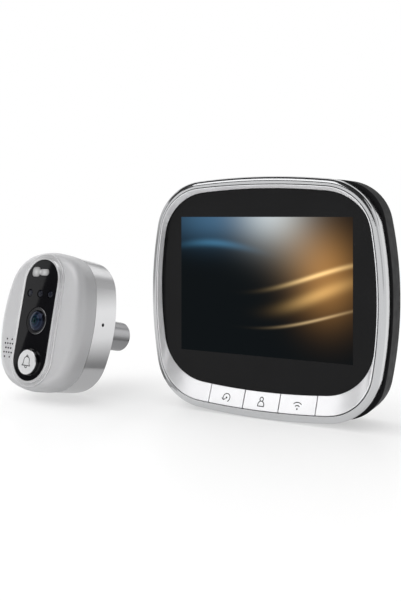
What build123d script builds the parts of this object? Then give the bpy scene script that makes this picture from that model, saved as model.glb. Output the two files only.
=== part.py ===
from build123d import *
import os
from dataclasses import dataclass
from math import atan2, cos, degrees, hypot, radians, sin, sqrt

# A peephole door camera in two units: the door unit, with its camera and bell button,
# and the indoor monitor. They stand side by side on one surface and face -Y, with +Z up.
# Lengths are millimetres and angles are degrees. Each unit is built on its own plane, whose
# X points right and Y points up for someone in front of it. A depth counts rearward from it.

# Sizes shared by both units
cut_overrun = 2.0
slide_gap = 0.3
seat_gap = 0.1
seam_gap = 0.35
wall = 2.0
board_thickness = 1.6
screw_shaft_radius = 1.1
screw_hole_radius = 1.2
screw_head_radius = 2.1
screw_head_height = 1.4
screw_driver_radius = 0.9
screw_driver_depth = 0.8
small_screw_shaft_radius = 0.8
small_screw_hole_radius = 0.9
small_screw_head_radius = 1.6
small_screw_head_height = 1.0

# Where the units stand
door_unit_left = 115.1
door_unit_forward = 11.3
door_unit_turn = 6.6
door_unit_lean = 12.5

# Screen, and the borders, radii and rises of the outlines round it
screen_width = 87.2
screen_height = 65.4
screen_border = 3.4
glass_side_border = 11.3
glass_cap_border = 15.0
glass_side_radius = 166.0
glass_cap_radius = 315.0
glass_corner_radius = 24.0
glass_rise = -1.55
fascia_side_width = 1.1
fascia_cap_width = 5.1
lip_side_radius = 195.0
lip_cap_radius = 376.0
lip_corner_radius = 23.5
lip_rise = -4.7
rim_side_width = 3.0
rim_cap_width = 3.7
rim_side_radius = 185.0
rim_cap_radius = 320.0
rim_corner_radius = 26.0
rim_rise = -4.9
shell_side_overhang = 0.9
shell_side_radius = 190.0
shell_cap_radius = 330.0
shell_corner_radius = 21.5

# Monitor depths
lip_height = 3.7
glass_thickness = 1.5
screen_module_thickness = 3.4
ledge_thickness = 1.6
ledge_opening_gap = 0.2
rim_depth = 6.0
rim_front_rounding = 2.3
rim_inner_rounding = 0.3
rim_rear_chamfer = 0.5
rim_groove_width = 0.4
rim_groove_depth = 0.35
rim_groove_place = 4.6
monitor_depth = 24.6
shell_front_rounding = 0.6
shell_rear_rounding = 6.4
shell_inner_rounding = 4.2

# Monitor keys in the chin
key_pitch = 17.95
key_row_offset = 0.4
key_gap = 0.5
key_travel = 0.5
key_stop_gap = 0.2
key_stem_radius = 1.6
key_stem_hole_radius = 1.9
key_board_height = 8.0
key_board_post_gap = 3.35
key_board_post_inset = 3.5
switch_width = 4.0
switch_height = 1.6
switch_cap_radius = 1.0
switch_cap_height = 0.4
switch_free_gap = 0.15

# Monitor inside
main_board_gap = 0.2
main_board_depth = 6.4
main_board_corner = 3.0
board_post_radius = 2.2
board_post_inset_x = 2.7
board_post_inset_z = 11.0
screw_post_radius = 3.2
upper_post_gap = 1.3
upper_post_drop = 11.2
lower_post_gap = 5.8
lower_post_lift = 18.2
post_front_depth = 8.0
counterbore_radius = 2.4
counterbore_floor_depth = 19.5
screw_tip_depth = 4.6
chip_height = 1.3
processor_width = 15.0
memory_width = 9.0
radio_width = 13.0
chip_row_drop = 13.0
chip_row_pitch = 22.0
battery_width = 62.0
battery_height = 44.0
battery_thickness = 7.2
battery_top_gap = 0.2
battery_corner = 2.5
speaker_width = 11.0
speaker_height = 28.0
speaker_thickness = 4.2
speaker_z = -4.0
speaker_corner = 2.0
speaker_slot_width = 1.2
speaker_slot_length = 20.0
speaker_slot_pitch = 2.4
speaker_slot_count = 4
microphone_radius = 2.0
microphone_height = 1.6
microphone_inset_x = 9.0
microphone_inset_z = 7.0
antenna_width = 38.0
antenna_height_share = 0.37
antenna_thickness = 0.8

# Sockets and the power switch in the monitor's left wall
usb_width = 7.8
usb_height = 2.9
usb_length = 5.6
usb_slot_width = 6.4
usb_slot_height = 1.5
usb_slot_depth = 4.0
usb_z = -20.0
usb_opening_margin = 0.7
card_width = 14.0
card_height = 1.9
card_length = 14.5
card_slot_width = 11.2
card_slot_height = 0.9
card_slot_depth = 12.0
card_z = -4.5
card_opening_margin = 0.4
socket_setback = 0.3
power_z = 12.0
power_travel = 3.0
power_knob_length = 4.0
power_knob_width = 2.4
power_knob_stand = 0.7
power_body_length = 9.0
power_body_height = 3.6
power_body_depth = 4.0
power_slot_gap = 0.3
power_stem_width = 1.2
power_stem_length = 1.6
power_stem_reach = 1.2
power_slot_depth = 1.6

# Bracket and the recess behind the monitor
recess_side_gap = 2.5
recess_low_gap = 6.5
recess_depth = 4.2
recess_corner = 5.0
recess_centre_z = -5.0
recess_floor = 2.0
bracket_width = 57.0
bracket_height = 57.0
bracket_thickness = 1.5
bracket_corner = 4.0
bracket_top_gap = 1.5
bracket_travel = 5.0
bracket_hole_radius = 9.5
bracket_bolt_spacing_x = 40.0
bracket_bolt_spacing_z = 26.0
bracket_bolt_radius = 2.1
bracket_bolt_drop = 8.0
hook_x = 20.0
hook_width = 6.0
hook_drop = 14.0
hook_root_thickness = 1.8
hook_lip_height = 5.4
hook_lip_thickness = 1.1
cable_socket_width = 13.0
cable_socket_height = 4.6
cable_socket_depth = 2.2
cable_socket_lift = 10.0
cable_socket_slot_width = 10.4
cable_socket_slot_height = 1.8
cable_socket_slot_depth = 1.6

# Door unit outline and front shell
door_half_width = 29.3
door_cap_margin = 2.0
door_side_radius = 75.0
door_cap_radius = 44.0
door_corner_radius = 20.0
front_height = 11.2
front_rounding = 5.5
front_wall = 1.8
front_inner_rounding = 3.7

# Window, bezel and what shows in the window
window_half_width = 11.75
window_half_height = 31.2
window_rise = 0.3
window_front = 12.5
window_thickness = 1.5
window_edge_gap = 0.1
bezel_lip_width = 0.9
bezel_lip_stand = 0.25
bezel_step_width = 2.0
bezel_step_drop = 1.1
bezel_rounding = 0.4
bezel_ledge = 0.9
bezel_skirt_gap = 0.2
bezel_skirt_wall = 1.4
bezel_skirt_depth = 2.2
lens_x = 0.4
lens_z = -0.4
lens_ring_radius = 6.9
lens_hole_gap = 0.15
lens_ring_setback = 0.2
lens_ring_width = 0.9
lens_cone_depth = 0.3
lens_cone_width = 0.4
lens_glass_stand = 2.2
lens_glass_thickness = 1.6
lens_barrel_root = 3.4
camera_module_width = 13.0
camera_module_height = 14.0
led_pitch = 7.4
led_drop = 17.9
led_radius = 1.9
led_hole_gap = 0.1
led_body_length = 4.6
led_lead_radius = 0.45
sensor_left_x = -5.3
sensor_left_width = 5.8
sensor_left_height = 5.3
sensor_right_x = 0.6
sensor_right_width = 7.0
sensor_right_height = 3.6
sensor_drop = 6.7
sensor_corner = 1.7
sensor_gap = 0.1
sensor_stand = 0.1
sensor_lens_thickness = 2.4
sensor_can_radius = 3.6

# Bell button
button_x = 0.4
button_lift = 9.4
button_radius = 6.4
button_hole_gap = 0.3
button_stand = 2.1
button_rounding = 0.5
button_flange_width = 0.7
button_flange_thickness = 1.0
button_stem_radius = 1.8
button_travel = 0.8
button_stop_gap = 0.1
bell_switch_width = 6.0
bell_switch_height = 3.4
bell_switch_cap_radius = 1.6
bell_switch_cap_height = 1.4

# Speaker holes beside the window, by rows of holes
speaker_hole_rows = (2, 4, 3, 4, 2)
speaker_hole_radius = 0.5
speaker_hole_pitch = 1.85
speaker_row_pitch = 2.3
speaker_holes_share = 0.256
door_speaker_radius = 4.6
door_speaker_height = 3.0
door_speaker_inset = 1.0
door_speaker_front = 7.2
door_speaker_cup_wall = 0.9
door_speaker_cup_depth = 4.0

# Door unit body
gasket_thickness = 0.5
gasket_inset = 0.6
gasket_width = 1.6
ring_depth = 16.4
ring_wall = 2.2
ring_inset = 0.3
ring_edge_rounding = 0.5
ring_ledge_width = 1.4
ring_ledge_thickness = 1.4
back_plate_thickness = 2.0
back_plate_gap = 0.1
pad_thickness = 1.0
pad_inset = 9.0
pad_hole_gap = 5.75
door_board_side_gap = 0.8
door_board_cap_inset = 6.4
door_board_depth = 2.4
door_board_post_radius = 1.8
door_board_post_inset_x = 2.0
door_board_post_inset_z = 3.7
door_processor_width = 10.0
door_memory_width = 8.0
door_processor_z = 14.0
door_memory_z = -17.0
door_screw_gap = 2.45
door_screw_cap_inset = 12.9
door_screw_post_radius = 2.6
door_screw_counterbore_radius = 2.3
door_screw_bite = 5.0
ribbon_socket_width = 11.0
ribbon_socket_height = 4.0
ribbon_socket_depth = 2.6
door_microphone_x = 9.5
door_microphone_z = -12.0

# Mounting barrel through the door
barrel_bore_radius = 5.4
barrel_neck_wall = 1.6
barrel_neck_gap = 0.1
barrel_shoulder = 1.25
barrel_end_depth = 54.9
barrel_end_chamfer = 0.5
barrel_z = -2.5
nut_width = 3.0
nut_thickness = 2.6
set_screw_depth = 6.7
set_screw_z = 1.6
set_screw_radius = 0.85
set_screw_gap = 0.1
set_screw_setback = 0.3
set_screw_length = 1.7
set_screw_socket_radius = 0.4
set_screw_socket_depth = 0.6

# Half sizes of the outlines, from the screen and the window outward
glass_half_width = screen_width / 2 + glass_side_border
glass_half_height = screen_height / 2 + glass_cap_border
lip_half_width = glass_half_width + fascia_side_width
lip_half_height = glass_half_height + fascia_cap_width
rim_half_width = lip_half_width + rim_side_width
rim_half_height = lip_half_height + rim_cap_width
shell_half_width = rim_half_width + shell_side_overhang
monitor_bottom_drop = rim_half_height - rim_rise
lip_outer = window_half_width + bezel_lip_width
step_outer = lip_outer + bezel_step_width
skirt_half_width = step_outer - bezel_skirt_wall
door_half_height = window_half_height + step_outer - window_half_width + door_cap_margin


@dataclass
class Outline:
    """A soft rectangle closed by eight tangent arcs, level with the plane's X."""

    half_width: float
    half_height: float
    side_radius: float
    cap_radius: float
    corner_radius: float
    rise: float = 0

    def grown(self, amount):
        """The outline that runs parallel to this one, further out by the amount."""
        return Outline(self.half_width + amount, self.half_height + amount,
                       self.side_radius + amount, self.cap_radius + amount,
                       self.corner_radius + amount, self.rise)

    def corner_centre(self):
        """The first corner arc's centre, from the two arcs that it has to touch."""
        cap_y = self.half_height - self.cap_radius
        side_x = self.half_width - self.side_radius
        cap_reach = self.cap_radius - self.corner_radius
        side_reach = self.side_radius - self.corner_radius
        span = hypot(side_x, cap_y)
        along = (cap_reach ** 2 - side_reach ** 2 + span ** 2) / (2 * span)
        across = sqrt(cap_reach ** 2 - along ** 2)
        unit_x = side_x / span
        unit_y = -cap_y / span
        return along * unit_x + across * unit_y, cap_y + along * unit_y - across * unit_x

    def face(self):
        """The closed outline as a flat face on the XY plane."""
        x, y = self.corner_centre()
        cap_y = self.half_height - self.cap_radius
        side_x = self.half_width - self.side_radius
        side_angle = degrees(atan2(y, x - side_x))
        cap_angle = degrees(atan2(y - cap_y, x))
        turn = cap_angle - side_angle
        with BuildSketch() as face:
            with BuildLine():
                for side, start in ((1, -side_angle), (-1, 180 - side_angle)):
                    CenterArc((side * side_x, self.rise), self.side_radius, start, 2 * side_angle)
                for side, start in ((1, cap_angle), (-1, 180 + cap_angle)):
                    CenterArc((0, self.rise + side * cap_y), self.cap_radius, start, 180 - 2 * cap_angle)
                corners = ((1, 1, side_angle), (-1, 1, 180 - cap_angle),
                           (-1, -1, 180 + side_angle), (1, -1, -cap_angle))
                for right, up, start in corners:
                    CenterArc((right * x, self.rise + up * y), self.corner_radius, start, turn)
            make_face()
        return face.sketch


glass_outline = Outline(glass_half_width, glass_half_height, glass_side_radius,
                        glass_cap_radius, glass_corner_radius, glass_rise)
lip_outline = Outline(lip_half_width, lip_half_height, lip_side_radius,
                      lip_cap_radius, lip_corner_radius, lip_rise)
rim_outline = Outline(rim_half_width, rim_half_height, rim_side_radius,
                      rim_cap_radius, rim_corner_radius, rim_rise)
shell_outline = Outline(shell_half_width, rim_half_height, shell_side_radius,
                        shell_cap_radius, shell_corner_radius, rim_rise)
door_outline = Outline(door_half_width, door_half_height, door_side_radius,
                       door_cap_radius, door_corner_radius)

# The monitor's plane is its glass face. The door unit's plane is the joint between its front
# shell and its ring, which leans back on the lowest edge of the ring.
monitor_face = Plane(origin=(0, 0, monitor_bottom_drop), x_dir=(1, 0, 0), z_dir=(0, -1, 0))
lean = radians(door_unit_lean)
turn = radians(door_unit_turn)
door_unit_height = (door_half_height - ring_inset) * cos(lean) + ring_depth * sin(lean)
door_face = Plane(origin=(-door_unit_left, -door_unit_forward, door_unit_height),
                  x_dir=(cos(turn), -sin(turn), 0),
                  z_dir=(-sin(turn) * cos(lean), -cos(turn) * cos(lean), sin(lean)))
door_axis = Axis(door_face.origin, door_face.z_dir)


def monitor_at(depth):
    return monitor_face.offset(-depth)


def door_at(depth):
    return door_face.offset(-depth)


def both_sides(x, z):
    return [(-x, z), (x, z)]


def four_corners(x, z):
    return both_sides(x, z) + both_sides(x, -z)


def left_edge(outline, z):
    """Where the left side of an outline stands at a height."""
    return outline.side_radius - outline.half_width - sqrt(outline.side_radius ** 2 - (z - outline.rise) ** 2)


def window_capsule(half_width):
    """An upright slot with round ends that runs parallel to the window, as a flat face."""
    half_height = window_half_height + half_width - window_half_width
    with BuildSketch() as face:
        SlotOverall(2 * half_height, 2 * half_width, rotation=90)
    return face.sketch


def screws(plane, places, length, head_radius, head_height, shaft_radius):
    """Screws whose heads stand on the plane, with their shafts going along its normal."""
    with BuildPart() as group:
        with BuildSketch(plane):
            with Locations(*places):
                Circle(head_radius)
        extrude(amount=-head_height)
        with BuildSketch(plane):
            with Locations(*places):
                Circle(shaft_radius)
        extrude(amount=length)
        with BuildSketch(plane.offset(-head_height)):
            with Locations(*places):
                RectangleRounded(2 * screw_driver_radius, screw_driver_radius / 2, screw_driver_radius / 5)
                RectangleRounded(screw_driver_radius / 2, 2 * screw_driver_radius, screw_driver_radius / 5)
        extrude(amount=min(screw_driver_depth, head_height / 2), mode=Mode.SUBTRACT)
    return group


# Places inside the monitor, from the recess and the walls of its shell
shell_inside = shell_outline.grown(-wall)
recess_width = bracket_width + 2 * recess_side_gap
recess_height = bracket_height + bracket_travel + bracket_top_gap + recess_low_gap
recess_top_z = recess_centre_z + recess_height / 2
recess_side = recess_width / 2 + wall
hook_root_z = recess_top_z - bracket_top_gap - hook_drop
hook_slot_top_z = hook_root_z + hook_root_thickness + slide_gap
hook_slot_low_z = hook_root_z - bracket_travel - slide_gap
upper_post_x = recess_side + screw_post_radius + upper_post_gap
upper_post_z = rim_half_height + rim_rise - upper_post_drop
lower_post_x = recess_side + screw_post_radius + lower_post_gap
lower_post_z = lower_post_lift - monitor_bottom_drop
screw_posts = both_sides(upper_post_x, upper_post_z) + both_sides(lower_post_x, lower_post_z)
main_board_height = 2 * (upper_post_z - screw_post_radius - main_board_gap)
main_board_width = -2 * (left_edge(shell_inside, main_board_height / 2) + main_board_gap)
board_posts = four_corners(main_board_width / 2 - board_post_inset_x,
                           main_board_height / 2 - board_post_inset_z)

# Front glass
with BuildPart() as front_glass:
    with BuildSketch(monitor_at(0)):
        add(glass_outline.face())
    extrude(amount=-glass_thickness)

# Screen module, bonded behind the glass
with BuildPart() as screen_module:
    with BuildSketch(monitor_at(glass_thickness)):
        Rectangle(screen_width + 2 * screen_border, screen_height + 2 * screen_border)
    extrude(amount=-screen_module_thickness)

# Fascia: the dished silver frame round the glass, with its chin and a ledge behind the glass
ledge_depth = glass_thickness
ledge_rear = ledge_depth + ledge_thickness
fascia_outline = lip_outline.grown(-seam_gap)
chin_z = -(lip_half_height - lip_rise + glass_half_height - glass_rise) / 2
key_centres = [(key_row_offset + step * key_pitch, chin_z) for step in (-1, 0, 1)]
key_board_post_x = key_pitch + switch_width / 2 + board_post_radius + key_board_post_gap
key_board_posts = [(key_row_offset + x, chin_z) for x in (-key_board_post_x, key_board_post_x)]
with BuildPart() as fascia:
    with BuildSketch(monitor_at(-lip_height)):
        add(fascia_outline.face())
    extrude(amount=-(lip_height + ledge_rear))
    with BuildSketch(monitor_at(-lip_height)):
        add(fascia_outline.grown(-seam_gap).face())
    with BuildSketch(monitor_at(0)):
        add(glass_outline.grown(seat_gap).face())
    loft(mode=Mode.SUBTRACT)
    with BuildSketch(monitor_at(0)):
        add(glass_outline.grown(seat_gap).face())
    extrude(amount=-ledge_depth, mode=Mode.SUBTRACT)
    with BuildSketch(monitor_at(ledge_depth)):
        Rectangle(screen_width + 2 * (screen_border + ledge_opening_gap),
                  screen_height + 2 * (screen_border + ledge_opening_gap))
    extrude(amount=-(ledge_thickness + cut_overrun), mode=Mode.SUBTRACT)
    with BuildSketch(monitor_at(-lip_height - cut_overrun)):
        with Locations(key_centres[1]):
            Rectangle(len(key_centres) * key_pitch + key_gap, 2 * lip_half_height)
        add(glass_outline.face(), mode=Mode.SUBTRACT)
        with Locations((0, lip_half_height + glass_rise)):
            Rectangle(2 * rim_half_width, 2 * lip_half_height, mode=Mode.SUBTRACT)
    extrude(amount=-(lip_height + cut_overrun + ledge_depth), mode=Mode.SUBTRACT)
    with BuildSketch(monitor_at(ledge_depth)):
        with Locations(*key_centres):
            Circle(key_stem_hole_radius)
    extrude(amount=-(ledge_thickness + cut_overrun), mode=Mode.SUBTRACT)
    with BuildSketch(monitor_at(ledge_rear)):
        with Locations(*board_posts, *key_board_posts):
            Circle(board_post_radius)
    extrude(amount=-(main_board_depth - ledge_rear))
    with BuildSketch(monitor_at(ledge_rear)):
        with Locations(*screw_posts):
            Circle(screw_post_radius)
    extrude(amount=-(post_front_depth - ledge_rear))
    with BuildSketch(monitor_at(main_board_depth + cut_overrun)):
        with Locations(*board_posts, *key_board_posts):
            Circle(small_screw_hole_radius)
    extrude(amount=main_board_depth + cut_overrun - ledge_rear, mode=Mode.SUBTRACT)
    with BuildSketch(monitor_at(post_front_depth + cut_overrun)):
        with Locations(*screw_posts):
            Circle(screw_hole_radius)
    extrude(amount=post_front_depth + cut_overrun - screw_tip_depth + seat_gap, mode=Mode.SUBTRACT)

# Chrome rim round the fascia
with BuildPart() as chrome_rim:
    with BuildSketch(monitor_at(-lip_height)):
        add(rim_outline.face())
    extrude(amount=-(lip_height + rim_depth))
    rim_front = chrome_rim.faces().filter_by(Axis.Y).sort_by(Axis.Y)[0]
    fillet(rim_front.edges(), rim_front_rounding)
    rim_rear = chrome_rim.faces().filter_by(Axis.Y).sort_by(Axis.Y)[-1]
    chamfer(rim_rear.edges(), rim_rear_chamfer)
    with BuildSketch(monitor_at(-lip_height - cut_overrun)):
        add(lip_outline.face())
    extrude(amount=-(lip_height + rim_depth + 2 * cut_overrun), mode=Mode.SUBTRACT)
    rim_mouth = chrome_rim.faces().filter_by(Axis.Y).sort_by(Axis.Y)[0]
    fillet(rim_mouth.inner_wires()[0].edges(), rim_inner_rounding)
    with BuildSketch(monitor_at(rim_groove_place)):
        add(rim_outline.grown(cut_overrun).face())
        add(rim_outline.grown(-rim_groove_depth).face(), mode=Mode.SUBTRACT)
    extrude(amount=-rim_groove_width, mode=Mode.SUBTRACT)

# Keys in the chin, whose faces follow the slope of the fascia
key_rear_depth = ledge_depth - key_travel - key_stop_gap
switch_face_depth = main_board_depth - switch_height - switch_cap_height


def make_key(place):
    with BuildPart() as key:
        with BuildSketch(monitor_at(-lip_height)):
            add(fascia_outline.face())
            add(glass_outline.grown(seat_gap).face(), mode=Mode.SUBTRACT)
            with Locations(place):
                Rectangle(key_pitch - key_gap, lip_half_height, mode=Mode.INTERSECT)
        extrude(amount=-(lip_height + key_rear_depth))
        with BuildSketch(monitor_at(-lip_height)):
            add(fascia_outline.grown(-seam_gap).face())
        with BuildSketch(monitor_at(0)):
            add(glass_outline.grown(seat_gap).face())
        loft(mode=Mode.SUBTRACT)
        with BuildSketch(monitor_at(key_rear_depth)):
            with Locations(place):
                Circle(key_stem_radius)
        extrude(amount=-(switch_face_depth - key_travel - switch_free_gap - key_rear_depth))
    return key


key_names = ("key_left", "key_middle", "key_right")
keys = [make_key(place) for place in key_centres]

# Key board with its switches, behind the chin
key_board_width = 2 * (key_board_post_x + key_board_post_inset)
with BuildPart() as key_board:
    with BuildSketch(monitor_at(main_board_depth)):
        with Locations((key_row_offset, chin_z + switch_cap_radius)):
            RectangleRounded(key_board_width, key_board_height, main_board_corner / 2)
        with Locations(*key_board_posts):
            Circle(small_screw_hole_radius, mode=Mode.SUBTRACT)
    extrude(amount=-board_thickness)

with BuildPart() as key_switches:
    with BuildSketch(monitor_at(main_board_depth)):
        with Locations(*key_centres):
            Rectangle(switch_width, switch_width)
    extrude(amount=switch_height)
    with BuildSketch(monitor_at(main_board_depth - switch_height)):
        with Locations(*key_centres):
            Circle(switch_cap_radius)
    extrude(amount=switch_cap_height)

# Main board on the fascia's posts, and what it carries
board_rear = main_board_depth + board_thickness
chip_row_z = main_board_height / 2 - chip_row_drop
microphone_place = (main_board_width / 2 - microphone_inset_x, microphone_inset_z - main_board_height / 2)
with BuildPart() as main_board:
    with BuildSketch(monitor_at(main_board_depth)):
        RectangleRounded(main_board_width, main_board_height, main_board_corner)
        with Locations(*board_posts):
            Circle(small_screw_hole_radius, mode=Mode.SUBTRACT)
    extrude(amount=-board_thickness)

with BuildPart() as main_chips:
    with BuildSketch(monitor_at(board_rear)):
        with Locations((0, chip_row_z)):
            Rectangle(processor_width, processor_width)
        with Locations((-chip_row_pitch, chip_row_z)):
            Rectangle(memory_width, memory_width)
        with Locations((chip_row_pitch, chip_row_z)):
            Rectangle(radio_width, processor_width)
    extrude(amount=-chip_height)

with BuildPart() as monitor_microphone:
    with BuildSketch(monitor_at(board_rear)):
        with Locations(microphone_place):
            Circle(microphone_radius)
    extrude(amount=-microphone_height)

board_screws = screws(monitor_at(board_rear), board_posts + key_board_posts,
                      board_thickness + ledge_thickness, small_screw_head_radius,
                      small_screw_head_height, small_screw_shaft_radius)

# Back shell, with the recess for the bracket and the openings in its left wall
shell_depth = monitor_depth - rim_depth
recess_floor_depth = monitor_depth - recess_depth
recess_face = (0, recess_centre_z)
usb_depth = board_rear + usb_height / 2
card_depth = board_rear + card_height / 2
power_depth = board_rear + power_body_height / 2
speaker_x = -(recess_side + shell_half_width - wall - shell_inner_rounding) / 2


def left_wall_at(x):
    """A plane across X, with its own X rearward and its Y up."""
    return Plane(origin=(x, 0, monitor_bottom_drop), x_dir=(0, 1, 0), z_dir=(1, 0, 0))


def socket_face(z, length):
    """Where the flat face of a socket of some length clears the bowed wall."""
    return left_edge(shell_inside, z + length / 2) + socket_setback


usb_face_x = socket_face(usb_z, -usb_width)
card_face_x = socket_face(card_z, card_width)
power_face_x = socket_face(power_z, power_body_length)


with BuildPart() as shell_hollow:
    with BuildSketch(monitor_at(rim_depth - cut_overrun)):
        add(shell_inside.face())
    extrude(amount=-(shell_depth + cut_overrun - wall))
    hollow_rear = shell_hollow.faces().filter_by(Axis.Y).sort_by(Axis.Y)[-1]
    fillet(hollow_rear.edges(), shell_inner_rounding)
    with BuildSketch(monitor_at(recess_floor_depth - recess_floor)):
        with Locations(recess_face):
            RectangleRounded(2 * recess_side, recess_height + 2 * wall, recess_corner + wall)
    extrude(amount=-(recess_depth + recess_floor), mode=Mode.SUBTRACT)
    with BuildSketch(monitor_at(post_front_depth)):
        with Locations(*screw_posts):
            Circle(screw_post_radius)
    extrude(amount=-shell_depth, mode=Mode.SUBTRACT)

with BuildPart() as back_shell:
    with BuildSketch(monitor_at(rim_depth)):
        add(shell_outline.face())
    extrude(amount=-shell_depth)
    shell_front = back_shell.faces().filter_by(Axis.Y).sort_by(Axis.Y)[0]
    fillet(shell_front.edges(), shell_front_rounding)
    shell_rear = back_shell.faces().filter_by(Axis.Y).sort_by(Axis.Y)[-1]
    fillet(shell_rear.edges(), shell_rear_rounding)
    add(shell_hollow.part, mode=Mode.SUBTRACT)
    with BuildSketch(monitor_at(recess_floor_depth)):
        with Locations(recess_face):
            RectangleRounded(recess_width, recess_height, recess_corner)
    extrude(amount=-(recess_depth + cut_overrun), mode=Mode.SUBTRACT)
    with BuildSketch(monitor_at(recess_floor_depth - recess_floor - cut_overrun)):
        with Locations(*both_sides(hook_x, (hook_slot_top_z + hook_slot_low_z) / 2)):
            Rectangle(hook_width + 2 * slide_gap, hook_slot_top_z - hook_slot_low_z)
    extrude(amount=-(recess_floor + 2 * cut_overrun), mode=Mode.SUBTRACT)
    with BuildSketch(monitor_at(counterbore_floor_depth)):
        with Locations(*screw_posts):
            Circle(counterbore_radius)
    extrude(amount=-(shell_depth + cut_overrun), mode=Mode.SUBTRACT)
    with BuildSketch(monitor_at(post_front_depth - cut_overrun)):
        with Locations(*screw_posts):
            Circle(screw_hole_radius)
    extrude(amount=-(shell_depth + cut_overrun), mode=Mode.SUBTRACT)
    with BuildSketch(monitor_at(monitor_depth - wall - cut_overrun)):
        with Locations((speaker_x, speaker_z)):
            with GridLocations(speaker_slot_pitch, 0, speaker_slot_count, 1):
                SlotOverall(speaker_slot_length, speaker_slot_width, rotation=90)
    extrude(amount=-(wall + 2 * cut_overrun), mode=Mode.SUBTRACT)
    with BuildSketch(left_wall_at(-shell_half_width - cut_overrun)):
        with Locations((usb_depth, usb_z)):
            SlotOverall(usb_width + 2 * usb_opening_margin, usb_height + 2 * usb_opening_margin, rotation=90)
        with Locations((card_depth, card_z)):
            SlotOverall(card_slot_width + 2 * card_opening_margin,
                        card_slot_height + 2 * card_opening_margin, rotation=90)
        with Locations((power_depth, power_z)):
            Rectangle(power_knob_width + 2 * power_slot_gap,
                      power_knob_length + power_travel + 2 * power_slot_gap)
    extrude(amount=2 * cut_overrun + wall, mode=Mode.SUBTRACT)

shell_screws = screws(monitor_at(counterbore_floor_depth), screw_posts,
                      counterbore_floor_depth - screw_tip_depth - seat_gap,
                      screw_head_radius, screw_head_height, screw_shaft_radius)

# Battery against the recess floor, and the speaker and antenna on the rear wall
battery_centre_z = hook_slot_low_z - battery_top_gap - battery_height / 2
antenna_low_z = recess_top_z + wall
antenna_room = rim_half_height + rim_rise - wall - shell_inner_rounding - antenna_low_z
with BuildPart() as battery_pack:
    with BuildSketch(monitor_at(recess_floor_depth - recess_floor)):
        with Locations((0, battery_centre_z)):
            RectangleRounded(battery_width, battery_height, battery_corner)
    extrude(amount=battery_thickness)
    fillet(battery_pack.edges().filter_by(Axis.Z), battery_corner)

with BuildPart() as monitor_speaker:
    with BuildSketch(monitor_at(monitor_depth - wall)):
        with Locations((speaker_x, speaker_z)):
            RectangleRounded(speaker_width, speaker_height, speaker_corner)
    extrude(amount=speaker_thickness)

with BuildPart() as wifi_antenna:
    with BuildSketch(monitor_at(monitor_depth - wall)):
        with Locations((0, antenna_low_z + antenna_room / 2)):
            Rectangle(antenna_width, antenna_room * antenna_height_share)
    extrude(amount=antenna_thickness)

# Sockets on the board's left edge
with BuildPart() as usb_socket:
    with BuildSketch(left_wall_at(usb_face_x)):
        with Locations((usb_depth, usb_z)):
            Rectangle(usb_height, usb_width)
    extrude(amount=usb_length)
    with BuildSketch(left_wall_at(usb_face_x)):
        with Locations((usb_depth, usb_z)):
            Rectangle(usb_slot_height, usb_slot_width)
    extrude(amount=usb_slot_depth, mode=Mode.SUBTRACT)

with BuildPart() as card_reader:
    with BuildSketch(left_wall_at(card_face_x)):
        with Locations((card_depth, card_z)):
            Rectangle(card_height, card_width)
    extrude(amount=card_length)
    with BuildSketch(left_wall_at(card_face_x)):
        with Locations((card_depth, card_z)):
            Rectangle(card_slot_height, card_slot_width)
    extrude(amount=card_slot_depth, mode=Mode.SUBTRACT)

# Power switch: its body on the board and the knob that slides up and down in the wall
power_knob_z = power_z - power_travel / 2
power_knob_x = left_edge(shell_outline, power_z) - power_knob_stand
with BuildPart() as power_switch_body:
    with BuildSketch(left_wall_at(power_face_x)):
        with Locations((power_depth, power_z)):
            Rectangle(power_body_height, power_body_length)
    extrude(amount=power_body_depth)
    with BuildSketch(left_wall_at(power_face_x)):
        with Locations((power_depth, power_z)):
            Rectangle(power_stem_width + 2 * slide_gap, power_stem_length + power_travel + 2 * slide_gap)
    extrude(amount=power_slot_depth, mode=Mode.SUBTRACT)

with BuildPart() as power_switch:
    with BuildSketch(left_wall_at(power_knob_x)):
        with Locations((power_depth, power_knob_z)):
            Rectangle(power_knob_width, power_knob_length)
    extrude(amount=power_face_x - slide_gap - power_knob_x)
    with BuildSketch(left_wall_at(power_face_x - slide_gap)):
        with Locations((power_depth, power_knob_z)):
            Rectangle(power_stem_width, power_stem_length)
    extrude(amount=slide_gap + power_stem_reach)

# Socket in the recess for the door unit's cable
cable_socket_z = recess_top_z - recess_height + cable_socket_lift
with BuildPart() as cable_socket:
    with BuildSketch(monitor_at(recess_floor_depth)):
        with Locations((0, cable_socket_z)):
            Rectangle(cable_socket_width, cable_socket_height)
    extrude(amount=-cable_socket_depth)
    with BuildSketch(monitor_at(recess_floor_depth + cable_socket_depth)):
        with Locations((0, cable_socket_z)):
            Rectangle(cable_socket_slot_width, cable_socket_slot_height)
    extrude(amount=cable_socket_slot_depth, mode=Mode.SUBTRACT)

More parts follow.
